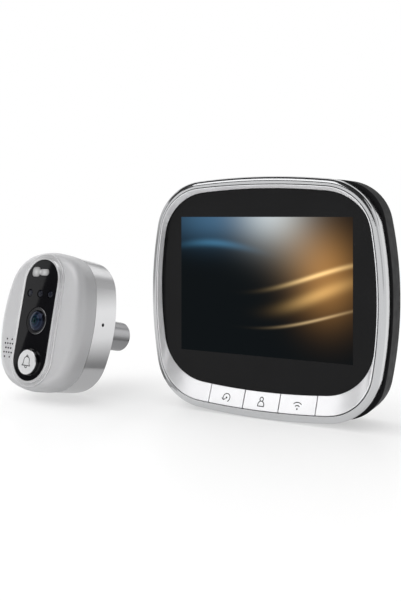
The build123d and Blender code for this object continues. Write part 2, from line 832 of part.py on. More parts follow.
# Door bracket: a steel plate whose two hooks hold the monitor's recess floor
bracket_face_depth = monitor_depth - bracket_thickness
bracket_z = recess_top_z - bracket_top_gap - bracket_height / 2
bracket_hole_z = recess_centre_z
hook_front_depth = recess_floor_depth - recess_floor - slide_gap - hook_lip_thickness
bracket_bolt_centre_z = bracket_z - bracket_bolt_drop
with BuildPart() as door_bracket:
    with BuildSketch(monitor_at(bracket_face_depth)):
        with Locations((0, bracket_z)):
            RectangleRounded(bracket_width, bracket_height, bracket_corner)
        with Locations((0, bracket_hole_z)):
            Circle(bracket_hole_radius, mode=Mode.SUBTRACT)
        with Locations((0, bracket_bolt_centre_z)):
            with GridLocations(bracket_bolt_spacing_x, bracket_bolt_spacing_z, 2, 2):
                Circle(bracket_bolt_radius, mode=Mode.SUBTRACT)
    extrude(amount=-bracket_thickness)
    with BuildSketch(monitor_at(bracket_face_depth)):
        with Locations(*both_sides(hook_x, hook_root_z + hook_root_thickness / 2)):
            Rectangle(hook_width, hook_root_thickness)
    extrude(amount=bracket_face_depth - hook_front_depth)
    with BuildSketch(monitor_at(hook_front_depth)):
        with Locations(*both_sides(hook_x, hook_root_z + hook_lip_height / 2)):
            Rectangle(hook_width, hook_lip_height)
    extrude(amount=-hook_lip_thickness)

# Door unit front shell: a silver pillow with posts inside
board_front = door_board_depth
door_board_rear = door_board_depth + board_thickness
door_screw_x = skirt_half_width + bezel_skirt_gap + door_screw_post_radius + door_screw_gap
door_screw_z = door_half_height - door_screw_cap_inset
door_screw_places = four_corners(door_screw_x, door_screw_z)
door_board_half_width = door_screw_x - screw_shaft_radius - door_board_side_gap
door_board_half_height = door_half_height - door_board_cap_inset
door_board_post_x = door_board_half_width - door_board_post_inset_x
door_board_post_z = door_board_half_height - door_board_post_inset_z
door_board_places = both_sides(door_board_post_x, window_rise + door_board_post_z)
door_board_places += both_sides(door_board_post_x, window_rise - door_board_post_z)
speaker_holes_x = -(step_outer + speaker_holes_share * (door_half_width - step_outer))
speaker_holes_z = door_screw_post_radius + seat_gap + door_speaker_radius - door_screw_z
door_speaker_place = (speaker_holes_x - door_speaker_inset, speaker_holes_z)
with BuildPart() as front_hollow:
    with BuildSketch(door_at(cut_overrun)):
        add(door_outline.grown(-front_wall).face())
    extrude(amount=front_height - front_wall + cut_overrun)
    hollow_front = front_hollow.faces().sort_by(door_axis)[-1]
    fillet(hollow_front.edges(), front_inner_rounding)
    with BuildSketch(door_at(cut_overrun)):
        with Locations(*door_screw_places):
            Circle(door_screw_post_radius)
        with Locations(*door_board_places):
            Circle(door_board_post_radius)
    extrude(amount=front_height + cut_overrun, mode=Mode.SUBTRACT)
    with BuildSketch(door_at(-door_speaker_front + door_speaker_cup_depth)):
        with Locations(door_speaker_place):
            Circle(door_speaker_radius + seat_gap + door_speaker_cup_wall)
            Circle(door_speaker_radius + seat_gap, mode=Mode.SUBTRACT)
    extrude(amount=front_height, mode=Mode.SUBTRACT)

with BuildPart() as outdoor_front_shell:
    with BuildSketch(door_at(0)):
        add(door_outline.face())
    extrude(amount=front_height)
    pillow_front = outdoor_front_shell.faces().sort_by(door_axis)[-1]
    fillet(pillow_front.edges(), front_rounding)
    add(front_hollow.part, mode=Mode.SUBTRACT)
    with BuildSketch(door_at(cut_overrun)):
        with Locations((0, window_rise)):
            add(window_capsule(skirt_half_width + bezel_skirt_gap))
    extrude(amount=front_height + 2 * cut_overrun, mode=Mode.SUBTRACT)
    with BuildSketch(door_at(board_front)):
        with Locations(*door_board_places):
            Circle(door_board_post_radius)
    extrude(amount=board_front)
    with BuildSketch(door_at(board_front)):
        with Locations(*door_board_places):
            Circle(small_screw_hole_radius)
    extrude(amount=door_screw_bite, mode=Mode.SUBTRACT)
    with BuildSketch(door_at(cut_overrun)):
        with Locations(*door_screw_places):
            Circle(screw_hole_radius)
    extrude(amount=door_screw_bite + seat_gap + cut_overrun, mode=Mode.SUBTRACT)
    with BuildSketch(door_at(-door_speaker_front)):
        for row, count in enumerate(speaker_hole_rows):
            row_z = speaker_holes_z + ((len(speaker_hole_rows) - 1) / 2 - row) * speaker_row_pitch
            step = speaker_hole_pitch * (2 if count == 2 else 1)
            with Locations((speaker_holes_x, row_z)):
                with GridLocations(step, 0, count, 1):
                    Circle(speaker_hole_radius)
    extrude(amount=front_height, mode=Mode.SUBTRACT)

# Window bezel: a stepped capsule ring that carries the window
bezel_top = window_front + bezel_lip_stand
window_rear = window_front - window_thickness
with BuildPart() as window_bezel:
    with BuildSketch(door_at(-front_height)):
        with Locations((0, window_rise)):
            add(window_capsule(step_outer))
    extrude(amount=bezel_top - front_height - bezel_step_drop)
    step_face = window_bezel.faces().sort_by(door_axis)[-1]
    fillet(step_face.edges(), bezel_rounding)
    with BuildSketch(door_at(-front_height)):
        with Locations((0, window_rise)):
            add(window_capsule(lip_outer))
    extrude(amount=bezel_top - front_height)
    lip_face = window_bezel.faces().sort_by(door_axis)[-1]
    fillet(lip_face.edges(), bezel_rounding / 2)
    with BuildSketch(door_at(-front_height)):
        with Locations((0, window_rise)):
            add(window_capsule(skirt_half_width))
    extrude(amount=-bezel_skirt_depth)
    with BuildSketch(door_at(-bezel_top - cut_overrun)):
        with Locations((0, window_rise)):
            add(window_capsule(window_half_width))
    extrude(amount=-(bezel_lip_stand + cut_overrun + window_thickness), mode=Mode.SUBTRACT)
    with BuildSketch(door_at(-window_rear)):
        with Locations((0, window_rise)):
            add(window_capsule(window_half_width - bezel_ledge))
    extrude(amount=-(window_rear + cut_overrun), mode=Mode.SUBTRACT)

# Window: the black plate with the holes for the lens, lamps, sensor and button
window_top_z = window_rise + window_half_height
sensor_z = window_top_z - sensor_drop
led_places = [(step * led_pitch, window_top_z - led_drop) for step in (-1, 0, 1)]
button_z = window_rise - window_half_height + button_lift


def sensor_face(extra):
    """The outline of the sensor's lens, grown all round, as a flat face on the XY plane."""
    lobes = ((sensor_left_x, sensor_left_width, sensor_left_height),
             (sensor_right_x, sensor_right_width, sensor_right_height))
    with BuildSketch() as face:
        for x, width, height in lobes:
            with Locations((x, sensor_z)):
                RectangleRounded(width + 2 * extra, height + 2 * extra, sensor_corner + extra)
    return face.sketch


with BuildPart() as window_panel:
    with BuildSketch(door_at(-window_front)):
        with Locations((0, window_rise)):
            add(window_capsule(window_half_width - window_edge_gap))
        with Locations((lens_x, lens_z)):
            Circle(lens_ring_radius + lens_hole_gap, mode=Mode.SUBTRACT)
        with Locations((button_x, button_z)):
            Circle(button_radius + button_hole_gap, mode=Mode.SUBTRACT)
        with Locations(*led_places):
            Circle(led_radius + led_hole_gap, mode=Mode.SUBTRACT)
        add(sensor_face(sensor_gap), mode=Mode.SUBTRACT)
    extrude(amount=-window_thickness)

# Camera: the lens barrel with its glass, on a module that stands on the board
module_front = lens_barrel_root
barrel_front = window_front - lens_ring_setback
cone_floor = barrel_front - lens_cone_depth
lens_glass_radius = lens_ring_radius - lens_ring_width - lens_cone_width - seat_gap
lens_sphere_radius = (lens_glass_radius ** 2 + lens_glass_stand ** 2) / (2 * lens_glass_stand)
with BuildPart() as camera_module:
    with BuildSketch(door_at(board_front)):
        with Locations((lens_x, lens_z)):
            Rectangle(camera_module_width, camera_module_height)
    extrude(amount=board_front + module_front)

with BuildPart() as lens_barrel:
    with BuildSketch(door_at(-module_front)):
        with Locations((lens_x, lens_z)):
            Circle(lens_ring_radius)
    extrude(amount=barrel_front - module_front)
    with BuildSketch(door_at(-barrel_front)):
        with Locations((lens_x, lens_z)):
            Circle(lens_ring_radius - lens_ring_width)
    with BuildSketch(door_at(-cone_floor)):
        with Locations((lens_x, lens_z)):
            Circle(lens_glass_radius + seat_gap)
    loft(mode=Mode.SUBTRACT)
    with BuildSketch(door_at(-cone_floor)):
        with Locations((lens_x, lens_z)):
            Circle(lens_glass_radius + seat_gap)
    extrude(amount=-lens_glass_thickness, mode=Mode.SUBTRACT)

lens_axis_plane = Plane(origin=door_at(-cone_floor).from_local_coords((lens_x, lens_z, 0)),
                        x_dir=door_face.x_dir, z_dir=-door_face.y_dir)
with BuildPart() as lens_glass:
    with BuildSketch(lens_axis_plane):
        with BuildLine():
            Line((0, lens_glass_stand), (0, -lens_glass_thickness))
            Line((0, -lens_glass_thickness), (lens_glass_radius, -lens_glass_thickness))
            Line((lens_glass_radius, -lens_glass_thickness), (lens_glass_radius, 0))
            RadiusArc((lens_glass_radius, 0), (0, lens_glass_stand), -lens_sphere_radius)
        make_face()
    lens_axis = Axis(lens_axis_plane.origin, door_face.z_dir)
    revolve(axis=lens_axis)

# Night lamps: three domed lamps whose leads stand on the board
led_root = window_front - led_body_length
with BuildPart() as infrared_leds:
    with BuildSketch(door_at(-led_root)):
        with Locations(*led_places):
            Circle(led_radius)
    extrude(amount=led_body_length)
    lamp_tips = infrared_leds.faces().group_by(door_axis)[-1]
    fillet(lamp_tips.edges(), led_radius / 2)
    with BuildSketch(door_at(board_front)):
        with Locations(*led_places):
            Circle(led_lead_radius)
    extrude(amount=board_front + led_root)

# Motion sensor: a milky two-lobed lens over a round can
with BuildPart() as motion_sensor_lens:
    with BuildSketch(door_at(-window_front - sensor_stand + sensor_lens_thickness)):
        add(sensor_face(0))
    extrude(amount=sensor_lens_thickness)
    sensor_front = motion_sensor_lens.faces().sort_by(door_axis)[-1]
    fillet(sensor_front.edges(), sensor_corner / 3)

with BuildPart() as motion_sensor:
    with BuildSketch(door_at(board_front)):
        with Locations((sensor_right_x, sensor_z)):
            Circle(sensor_can_radius)
    extrude(amount=board_front + window_front + sensor_stand - sensor_lens_thickness)

# Bell button with its flange and stem, and the switch that it presses
button_front = window_front + button_stand
flange_front = window_rear - slide_gap
flange_rear = flange_front - button_flange_thickness
switch_tip = bell_switch_height + bell_switch_cap_height - board_front
with BuildPart() as bell_button:
    with BuildSketch(door_at(-flange_rear)):
        with Locations((button_x, button_z)):
            Circle(button_radius)
    extrude(amount=button_front - flange_rear)
    button_face = bell_button.faces().sort_by(door_axis)[-1]
    fillet(button_face.edges(), button_rounding)
    with BuildSketch(door_at(-flange_rear)):
        with Locations((button_x, button_z)):
            Circle(button_radius + button_flange_width)
    extrude(amount=button_flange_thickness)
    with BuildSketch(door_at(-flange_rear)):
        with Locations((button_x, button_z)):
            Circle(button_stem_radius)
    extrude(amount=-(flange_rear - switch_tip - button_travel - button_stop_gap))

with BuildPart() as bell_switch:
    with BuildSketch(door_at(board_front)):
        with Locations((button_x, button_z)):
            Rectangle(bell_switch_width, bell_switch_width)
    extrude(amount=bell_switch_height)
    with BuildSketch(door_at(board_front - bell_switch_height)):
        with Locations((button_x, button_z)):
            Circle(bell_switch_cap_radius)
    extrude(amount=bell_switch_cap_height)

# Door unit board, with its speaker, microphone, chips and the socket for the flat cable
with BuildPart() as outdoor_board:
    with BuildSketch(door_at(board_front)):
        with Locations((0, window_rise)):
            RectangleRounded(2 * door_board_half_width, 2 * door_board_half_height, main_board_corner)
        with Locations(*door_board_places):
            Circle(small_screw_hole_radius, mode=Mode.SUBTRACT)
    extrude(amount=-board_thickness)

outdoor_board_screws = screws(door_at(door_board_rear), door_board_places, board_thickness + board_front,
                              small_screw_head_radius, small_screw_head_height, small_screw_shaft_radius)

with BuildPart() as outdoor_chips:
    with BuildSketch(door_at(door_board_rear)):
        with Locations((0, door_processor_z)):
            Rectangle(door_processor_width, door_processor_width)
        with Locations((0, door_memory_z)):
            Rectangle(door_memory_width, door_memory_width)
    extrude(amount=-chip_height)

with BuildPart() as outdoor_speaker:
    with BuildSketch(door_at(-door_speaker_front)):
        with Locations(door_speaker_place):
            Circle(door_speaker_radius)
    extrude(amount=-door_speaker_height)

with BuildPart() as outdoor_microphone:
    with BuildSketch(door_at(board_front)):
        with Locations((door_microphone_x, door_microphone_z)):
            Circle(microphone_radius)
    extrude(amount=microphone_height)

with BuildPart() as ribbon_socket:
    with BuildSketch(door_at(door_board_rear)):
        with Locations((0, barrel_z)):
            Rectangle(ribbon_socket_width, ribbon_socket_height)
    extrude(amount=-ribbon_socket_depth)
    with BuildSketch(door_at(door_board_rear + ribbon_socket_depth)):
        with Locations((0, barrel_z)):
            Rectangle(cable_socket_slot_width - cable_socket_slot_height, cable_socket_slot_height)
    extrude(amount=cable_socket_slot_depth, mode=Mode.SUBTRACT)

# Seal between the front shell and the ring
with BuildPart() as seal_gasket:
    with BuildSketch(door_at(0)):
        add(door_outline.grown(-gasket_inset).face())
        add(door_outline.grown(-gasket_inset - gasket_width).face(), mode=Mode.SUBTRACT)
    extrude(amount=-gasket_thickness)

# Metal ring, with a ledge inside for the back plate and a hole for the set screw
plate_front = ring_depth - back_plate_thickness
ring_outline = door_outline.grown(-ring_inset)
side_at_screw = ring_outline.half_width - set_screw_z ** 2 / (2 * ring_outline.side_radius)


def side_plane(x):
    """A plane across the door unit's X, with its own X rearward and its Y up."""
    return Plane(origin=door_face.from_local_coords((x, 0, 0)),
                 x_dir=-door_face.z_dir, z_dir=door_face.x_dir)


with BuildPart() as outdoor_ring:
    with BuildSketch(door_at(gasket_thickness)):
        add(ring_outline.face())
    extrude(amount=-(ring_depth - gasket_thickness))
    ring_rear = outdoor_ring.faces().sort_by(door_axis)[0]
    fillet(ring_rear.edges(), ring_edge_rounding)
    with BuildSketch(door_at(gasket_thickness - cut_overrun)):
        add(ring_outline.grown(-ring_wall).face())
    extrude(amount=-(plate_front - ring_ledge_thickness - gasket_thickness + cut_overrun), mode=Mode.SUBTRACT)
    with BuildSketch(door_at(0)):
        add(ring_outline.grown(-ring_wall - ring_ledge_width).face())
    extrude(amount=-(ring_depth + cut_overrun), mode=Mode.SUBTRACT)
    with BuildSketch(door_at(plate_front)):
        add(ring_outline.grown(-ring_wall).face())
    extrude(amount=-(back_plate_thickness + cut_overrun), mode=Mode.SUBTRACT)
    with BuildSketch(side_plane(side_at_screw + cut_overrun)):
        with Locations((set_screw_depth, set_screw_z)):
            Circle(set_screw_radius + set_screw_gap)
    extrude(amount=-(ring_wall + 2 * cut_overrun), mode=Mode.SUBTRACT)

with BuildPart() as set_screw:
    with BuildSketch(side_plane(side_at_screw - set_screw_setback)):
        with Locations((set_screw_depth, set_screw_z)):
            Circle(set_screw_radius)
    extrude(amount=-set_screw_length)
    with BuildSketch(side_plane(side_at_screw - set_screw_setback)):
        with Locations((set_screw_depth, set_screw_z)):
            RegularPolygon(set_screw_socket_radius, 6)
    extrude(amount=-set_screw_socket_depth, mode=Mode.SUBTRACT)

# Back plate in the ring, with counterbores for the screws that reach the front shell
head_seat = plate_front + back_plate_thickness - screw_head_height
barrel_neck_radius = barrel_bore_radius + barrel_neck_wall
with BuildPart() as outdoor_back_plate:
    with BuildSketch(door_at(plate_front)):
        add(ring_outline.grown(-ring_wall - back_plate_gap).face())
        with Locations((0, barrel_z)):
            Circle(barrel_neck_radius + barrel_neck_gap, mode=Mode.SUBTRACT)
        with Locations(*door_screw_places):
            Circle(screw_hole_radius, mode=Mode.SUBTRACT)
    extrude(amount=-back_plate_thickness)
    with BuildSketch(door_at(head_seat)):
        with Locations(*door_screw_places):
            Circle(door_screw_counterbore_radius)
    extrude(amount=-(screw_head_height + cut_overrun), mode=Mode.SUBTRACT)

outdoor_housing_screws = screws(door_at(head_seat), door_screw_places, head_seat + door_screw_bite,
                                screw_head_radius, screw_head_height, screw_shaft_radius)

# Foam pad that seals the unit against the door
barrel_radius = barrel_neck_radius + barrel_shoulder
with BuildPart() as foam_pad:
    with BuildSketch(door_at(ring_depth)):
        add(ring_outline.grown(-pad_inset).face())
        with Locations((0, barrel_z)):
            Circle(barrel_radius + pad_hole_gap, mode=Mode.SUBTRACT)
    extrude(amount=-pad_thickness)

# Mounting barrel, whose neck goes through the back plate into a round nut
neck_front = plate_front - nut_thickness
with BuildPart() as mounting_barrel:
    with BuildSketch(door_at(ring_depth)):
        with Locations((0, barrel_z)):
            Circle(barrel_radius)
    extrude(amount=-(barrel_end_depth - ring_depth))
    barrel_end = mounting_barrel.faces().sort_by(door_axis)[0]
    chamfer(barrel_end.edges(), barrel_end_chamfer)
    with BuildSketch(door_at(ring_depth)):
        with Locations((0, barrel_z)):
            Circle(barrel_neck_radius)
    extrude(amount=ring_depth - neck_front)
    with BuildSketch(door_at(neck_front - cut_overrun)):
        with Locations((0, barrel_z)):
            Circle(barrel_bore_radius)
    extrude(amount=-(barrel_end_depth + 2 * cut_overrun), mode=Mode.SUBTRACT)

with BuildPart() as barrel_nut:
    with BuildSketch(door_at(plate_front)):
        with Locations((0, barrel_z)):
            Circle(barrel_neck_radius + nut_width)
            Circle(barrel_neck_radius + barrel_neck_gap / 2, mode=Mode.SUBTRACT)
    extrude(amount=nut_thickness)

pieces = {
    "front_glass": front_glass, "screen_module": screen_module, "fascia": fascia,
    "chrome_rim": chrome_rim, "key_board": key_board, "key_switches": key_switches,
    "main_board": main_board, "main_chips": main_chips, "monitor_microphone": monitor_microphone,
    "board_screws": board_screws, "back_shell": back_shell, "shell_screws": shell_screws,
    "battery_pack": battery_pack, "monitor_speaker": monitor_speaker, "wifi_antenna": wifi_antenna,
    "usb_socket": usb_socket, "card_reader": card_reader, "power_switch_body": power_switch_body,
    "power_switch": power_switch, "cable_socket": cable_socket, "door_bracket": door_bracket,
    "outdoor_front_shell": outdoor_front_shell, "window_bezel": window_bezel,
    "window_panel": window_panel, "camera_module": camera_module, "lens_barrel": lens_barrel,
    "lens_glass": lens_glass, "infrared_leds": infrared_leds,
    "motion_sensor_lens": motion_sensor_lens, "motion_sensor": motion_sensor,
    "bell_button": bell_button, "bell_switch": bell_switch, "outdoor_board": outdoor_board,
    "outdoor_board_screws": outdoor_board_screws, "outdoor_chips": outdoor_chips,
    "outdoor_speaker": outdoor_speaker,
    "outdoor_microphone": outdoor_microphone, "ribbon_socket": ribbon_socket,
    "seal_gasket": seal_gasket, "outdoor_ring": outdoor_ring, "set_screw": set_screw,
    "outdoor_back_plate": outdoor_back_plate, "outdoor_housing_screws": outdoor_housing_screws,
    "foam_pad": foam_pad, "mounting_barrel": mounting_barrel, "barrel_nut": barrel_nut,
}
pieces.update(zip(key_names, keys))

# The origin is the middle of the foot of the box round the pair
whole = Compound([piece.part for piece in pieces.values()]).bounding_box()
to_origin = Pos(-whole.center().X, -whole.center().Y, -whole.min.Z)

os.makedirs("parts", exist_ok=True)
for name, piece in pieces.items():
    piece.part = to_origin * piece.part
    piece.part.label = name
    export_step(piece.part, f"parts/{name}.step")
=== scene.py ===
"""Looks of a peephole door camera: a silver door unit and its indoor monitor, side by side.

The CAD frame gives every piece its place. This script adds the camera, the lights, the
materials, the picture on the screen, the printed symbols and the fine turned optics.
"""
import math

import bmesh
import bpy
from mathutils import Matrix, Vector
from mathutils.bvhtree import BVHTree


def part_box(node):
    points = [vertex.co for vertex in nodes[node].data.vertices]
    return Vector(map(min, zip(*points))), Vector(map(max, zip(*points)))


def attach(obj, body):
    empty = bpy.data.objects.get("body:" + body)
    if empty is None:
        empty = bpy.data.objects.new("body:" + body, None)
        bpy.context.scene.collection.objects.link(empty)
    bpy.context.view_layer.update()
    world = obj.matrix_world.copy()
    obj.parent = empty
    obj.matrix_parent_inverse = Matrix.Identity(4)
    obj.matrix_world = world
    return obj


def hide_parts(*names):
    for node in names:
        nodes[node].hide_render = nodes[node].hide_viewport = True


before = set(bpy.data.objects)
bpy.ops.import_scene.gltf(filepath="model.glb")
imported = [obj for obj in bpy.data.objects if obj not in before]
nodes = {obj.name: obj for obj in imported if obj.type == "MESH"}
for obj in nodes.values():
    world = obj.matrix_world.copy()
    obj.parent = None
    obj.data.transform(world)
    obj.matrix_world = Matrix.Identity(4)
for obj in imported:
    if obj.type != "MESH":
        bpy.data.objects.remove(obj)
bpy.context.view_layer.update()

MM = 0.001

# Places in mm: the rise of the glass's middle over the screen's, and the door unit's place by the screen.
# The door unit also turns and leans.

GLASS_RISE = -1.55
DOOR_LEFT, DOOR_FORWARD, DOOR_HEIGHT = 115.1, 11.3, 38.50
DOOR_TURN, DOOR_LEAN = math.radians(6.6), math.radians(12.5)

glass_low, glass_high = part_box("front_glass")
screen_centre = Vector(((glass_low.x + glass_high.x) / 2, glass_low.y,
                        (glass_low.z + glass_high.z) / 2 - GLASS_RISE * MM))
door_centre = Vector((screen_centre.x - DOOR_LEFT * MM, screen_centre.y - DOOR_FORWARD * MM,
                      DOOR_HEIGHT * MM))
door_right = Vector((math.cos(DOOR_TURN), -math.sin(DOOR_TURN), 0))
door_rear = Vector((math.sin(DOOR_TURN) * math.cos(DOOR_LEAN), math.cos(DOOR_TURN) * math.cos(DOOR_LEAN),
                    -math.sin(DOOR_LEAN)))
door_up = door_right.cross(door_rear)


def on_monitor(x, z, depth):
    """A place on the monitor: right of and above the screen's middle, behind the glass face, in mm."""
    return screen_centre + Vector((x, depth, z)) * MM


def on_door(x, z, depth):
    """A place on the door unit: right of and above its middle, behind its rim plane, in mm."""
    return door_centre + (door_right * x + door_up * z + door_rear * depth) * MM


# Camera, fitted to the outlines of both units; its place is from the screen's middle, in mm

CAMERA_PLACE, CAMERA_TURN = (144.8, -328.6, 32.7), 28.4
CAMERA_LENS, CAMERA_SENSOR, CAMERA_SHIFT = 45.76, 36.0, -0.139
CLIP_START, CLIP_END = 0.01, 50.0

camera_data = bpy.data.cameras.new("camera")
camera_data.lens = CAMERA_LENS
camera_data.sensor_width = CAMERA_SENSOR
camera_data.shift_y = CAMERA_SHIFT
camera_data.clip_start = CLIP_START
camera_data.clip_end = CLIP_END
camera = bpy.data.objects.new("camera", camera_data)
camera.location = screen_centre + Vector(CAMERA_PLACE) * MM
camera.rotation_euler = (math.radians(90), 0, math.radians(CAMERA_TURN))
bpy.context.scene.collection.objects.link(camera)
bpy.context.scene.camera = camera


# Mesh helpers

SMOOTH_ANGLE = 25
TURNED_SEGMENTS = 96
STROKE_END_SIDES, DOT_SIDES = 12, 24
PRINT_LIFT = 0.02
PRINT_RAY_START, PRINT_RAY_REACH = 0.03, 0.1


def make_object(name, build):
    """A new object whose mesh is filled by build(bm)."""
    mesh = bpy.data.meshes.new(name)
    bm = bmesh.new()
    build(bm)
    bm.normal_update()
    bm.to_mesh(mesh)
    bm.free()
    obj = bpy.data.objects.new(name, mesh)
    bpy.context.scene.collection.objects.link(obj)
    return obj


def turned(name, place, profile):
    """A closed turned piece: the profile's (radius, depth) points in mm go round place(x, z, depth)."""
    def build(bm):
        rings = []
        for radius, depth in profile:
            if radius == 0:
                rings.append([bm.verts.new(place(0, 0, depth))])
                continue
            ring = []
            for i in range(TURNED_SEGMENTS):
                a = 2 * math.pi * i / TURNED_SEGMENTS
                ring.append(bm.verts.new(place(radius * math.cos(a), radius * math.sin(a), depth)))
            rings.append(ring)
        for lower, upper in zip(rings, rings[1:] + rings[:1]):
            if len(lower) == 1 and len(upper) == 1:
                continue
            for i in range(TURNED_SEGMENTS):
                j = (i + 1) % TURNED_SEGMENTS
                if len(lower) == 1:
                    bm.faces.new((lower[0], upper[j], upper[i]))
                elif len(upper) == 1:
                    bm.faces.new((lower[i], lower[j], upper[0]))
                else:
                    bm.faces.new((lower[i], lower[j], upper[j], upper[i]))
        bmesh.ops.recalc_face_normals(bm, faces=bm.faces)
    obj = make_object(name, build)
    obj.data.polygons.foreach_set("use_smooth", [True] * len(obj.data.polygons))
    obj.data.set_sharp_from_angle(angle=math.radians(SMOOTH_ANGLE))
    return obj


def arc(cx, cy, radius, start, end, steps=20):
    """Points along an arc, with its angles in degrees."""
    angles = [math.radians(start + (end - start) * i / steps) for i in range(steps + 1)]
    return [(cx + radius * math.cos(a), cy + radius * math.sin(a)) for a in angles]


def bezier(p0, p1, p2, p3, steps=14):
    """Points along a cubic curve."""
    points = []
    for i in range(steps + 1):
        t = i / steps
        weights = ((1 - t) ** 3, 3 * t * (1 - t) ** 2, 3 * t * t * (1 - t), t ** 3)
        points.append(tuple(sum(w * p[k] for w, p in zip(weights, (p0, p1, p2, p3))) for k in (0, 1)))
    return points


def printed(name, node, strokes, dots, width, place, inward):
    """Ink strokes and dots laid on a CAD node's own surface, found by rays along inward."""
    source = nodes[node].data
    tree = BVHTree.FromPolygons([v.co for v in source.vertices], [list(p.vertices) for p in source.polygons])

    def seat(x, z):
        """The point on the surface under a place, lifted by the print's thickness."""
        start = place(x, z) - inward * PRINT_RAY_START
        hit, normal, _, _ = tree.ray_cast(start, inward, PRINT_RAY_REACH)
        if hit is None:
            raise RuntimeError(f"{name}: no surface under {x:.2f}, {z:.2f}")
        if normal.dot(inward) > 0:
            normal = -normal
        return hit + normal * PRINT_LIFT * MM

    def disc(bm, x, z, radius, sides):
        """A round spot of ink."""
        angles = [2 * math.pi * k / sides for k in range(sides)]
        bm.faces.new([bm.verts.new(seat(x + radius * math.cos(a), z + radius * math.sin(a))) for a in angles])

    def build(bm):
        for stroke in strokes:
            left, right = [], []
            for i, (x, z) in enumerate(stroke):
                ahead = stroke[min(i + 1, len(stroke) - 1)]
                behind = stroke[max(i - 1, 0)]
                dx, dz = ahead[0] - behind[0], ahead[1] - behind[1]
                length = math.hypot(dx, dz) or 1
                nx, nz = -dz / length * width / 2, dx / length * width / 2
                left.append(bm.verts.new(seat(x + nx, z + nz)))
                right.append(bm.verts.new(seat(x - nx, z - nz)))
            for i in range(len(stroke) - 1):
                bm.faces.new((left[i], right[i], right[i + 1], left[i + 1]))
            for x, z in (stroke[0], stroke[-1]):
                disc(bm, x, z, width / 2, STROKE_END_SIDES)
        for x, z, radius in dots:
            disc(bm, x, z, radius, DOT_SIDES)
    return make_object(name, build)


# Material helpers

def material(name, color, metallic=0.0, roughness=0.5, coat=0.0, coat_roughness=0.05, specular=0.5):
    """A new principled material, with the values that are the same all over it."""
    mat = bpy.data.materials.new(name)
    mat.use_nodes = True
    shader = mat.node_tree.nodes["Principled BSDF"]
    shader.inputs["Base Color"].default_value = (*color, 1)
    shader.inputs["Metallic"].default_value = metallic
    shader.inputs["Roughness"].default_value = roughness
    shader.inputs["Coat Weight"].default_value = coat
    shader.inputs["Coat Roughness"].default_value = coat_roughness
    shader.inputs["Specular IOR Level"].default_value = specular
    mat.diffuse_color = (*color, 1)
    return mat


def own_place(tree):
    """The place in the object's own metres."""
    return tree.nodes.new("ShaderNodeTexCoord").outputs["Object"]


def distance_from(tree, centre):
    """How far each place is from the centre, in metres."""
    node = tree.nodes.new("ShaderNodeVectorMath")
    node.operation = "DISTANCE"
    node.inputs[1].default_value = centre
    tree.links.new(own_place(tree), node.inputs[0])
    return node.outputs["Value"]


def joined(tree, operation, first, second):
    """Two values in one, by a product or the like."""
    node = tree.nodes.new("ShaderNodeMath")
    node.operation = operation
    tree.links.new(first, node.inputs[0])
    tree.links.new(second, node.inputs[1])
    return node.outputs[0]


def fill_ramp(ramp, stops):
    """Gives a colour ramp its stops, each a position and a colour."""
    elements = ramp.color_ramp.elements
    while len(elements) < len(stops):
        elements.new(0.5)
    for element, (position, color) in zip(elements, stops):
        element.position = position
        element.color = (*color, 1)


def noise(mat, scale, detail=2.0, stretch=(1, 1, 1)):
    """A noise texture in the object's own metres; gives its factor socket."""
    tree = mat.node_tree
    mapping = tree.nodes.new("ShaderNodeMapping")
    mapping.inputs["Scale"].default_value = stretch
    texture = tree.nodes.new("ShaderNodeTexNoise")
    texture.inputs["Scale"].default_value = scale
    texture.inputs["Detail"].default_value = detail
    tree.links.new(own_place(tree), mapping.inputs["Vector"])
    tree.links.new(mapping.outputs["Vector"], texture.inputs["Vector"])
    return texture.outputs["Fac"]


def ranged(mat, socket, low, high, from_low=0.3, from_high=0.7):
    """The socket's values spread from low to high."""
    node = mat.node_tree.nodes.new("ShaderNodeMapRange")
    node.inputs["From Min"].default_value = from_low
    node.inputs["From Max"].default_value = from_high
    node.inputs["To Min"].default_value = low
    node.inputs["To Max"].default_value = high
    mat.node_tree.links.new(socket, node.inputs["Value"])
    return node.outputs["Result"]


def mottle(mat, socket, low, high, from_low=0.3, from_high=0.7):
    """Colours the material between two colours by the socket."""
    tree = mat.node_tree
    mix = tree.nodes.new("ShaderNodeMix")
    mix.data_type = "RGBA"
    mix.inputs[6].default_value = (*low, 1)
    mix.inputs[7].default_value = (*high, 1)
    tree.links.new(ranged(mat, socket, 0, 1, from_low, from_high), mix.inputs[0])
    tree.links.new(mix.outputs[2], tree.nodes["Principled BSDF"].inputs["Base Color"])


def rough(mat, socket, low, high):
    """Roughness between two values by the socket."""
    tree = mat.node_tree
    tree.links.new(ranged(mat, socket, low, high), tree.nodes["Principled BSDF"].inputs["Roughness"])


def bump(mat, socket, strength, distance):
    """Relief from the socket, its height in metres."""
    tree = mat.node_tree
    node = tree.nodes.new("ShaderNodeBump")
    node.inputs["Strength"].default_value = strength
    node.inputs["Distance"].default_value = distance
    tree.links.new(socket, node.inputs["Height"])
    tree.links.new(node.outputs["Normal"], tree.nodes["Principled BSDF"].inputs["Normal"])


def shades(color, amount):
    """The colour a little darker and a little lighter."""
    return tuple(c * (1 - amount) for c in color), tuple(min(1, c * (1 + amount)) for c in color)


# Materials

def metallic_paint(name, color, roughness, metallic, coat=0.1, flake=0.04):
    """Silver paint: fine flakes under a clear coat, with slow unevenness."""
    mat = material(name, color, metallic, roughness, coat=coat, coat_roughness=0.2)
    mottle(mat, noise(mat, scale=5200, detail=1.0), *shades(color, flake))
    rough(mat, noise(mat, scale=140, detail=3.0), roughness - 0.02, roughness + 0.03)
    bump(mat, noise(mat, scale=2600, detail=2.0), strength=0.06, distance=0.00001)
    return mat


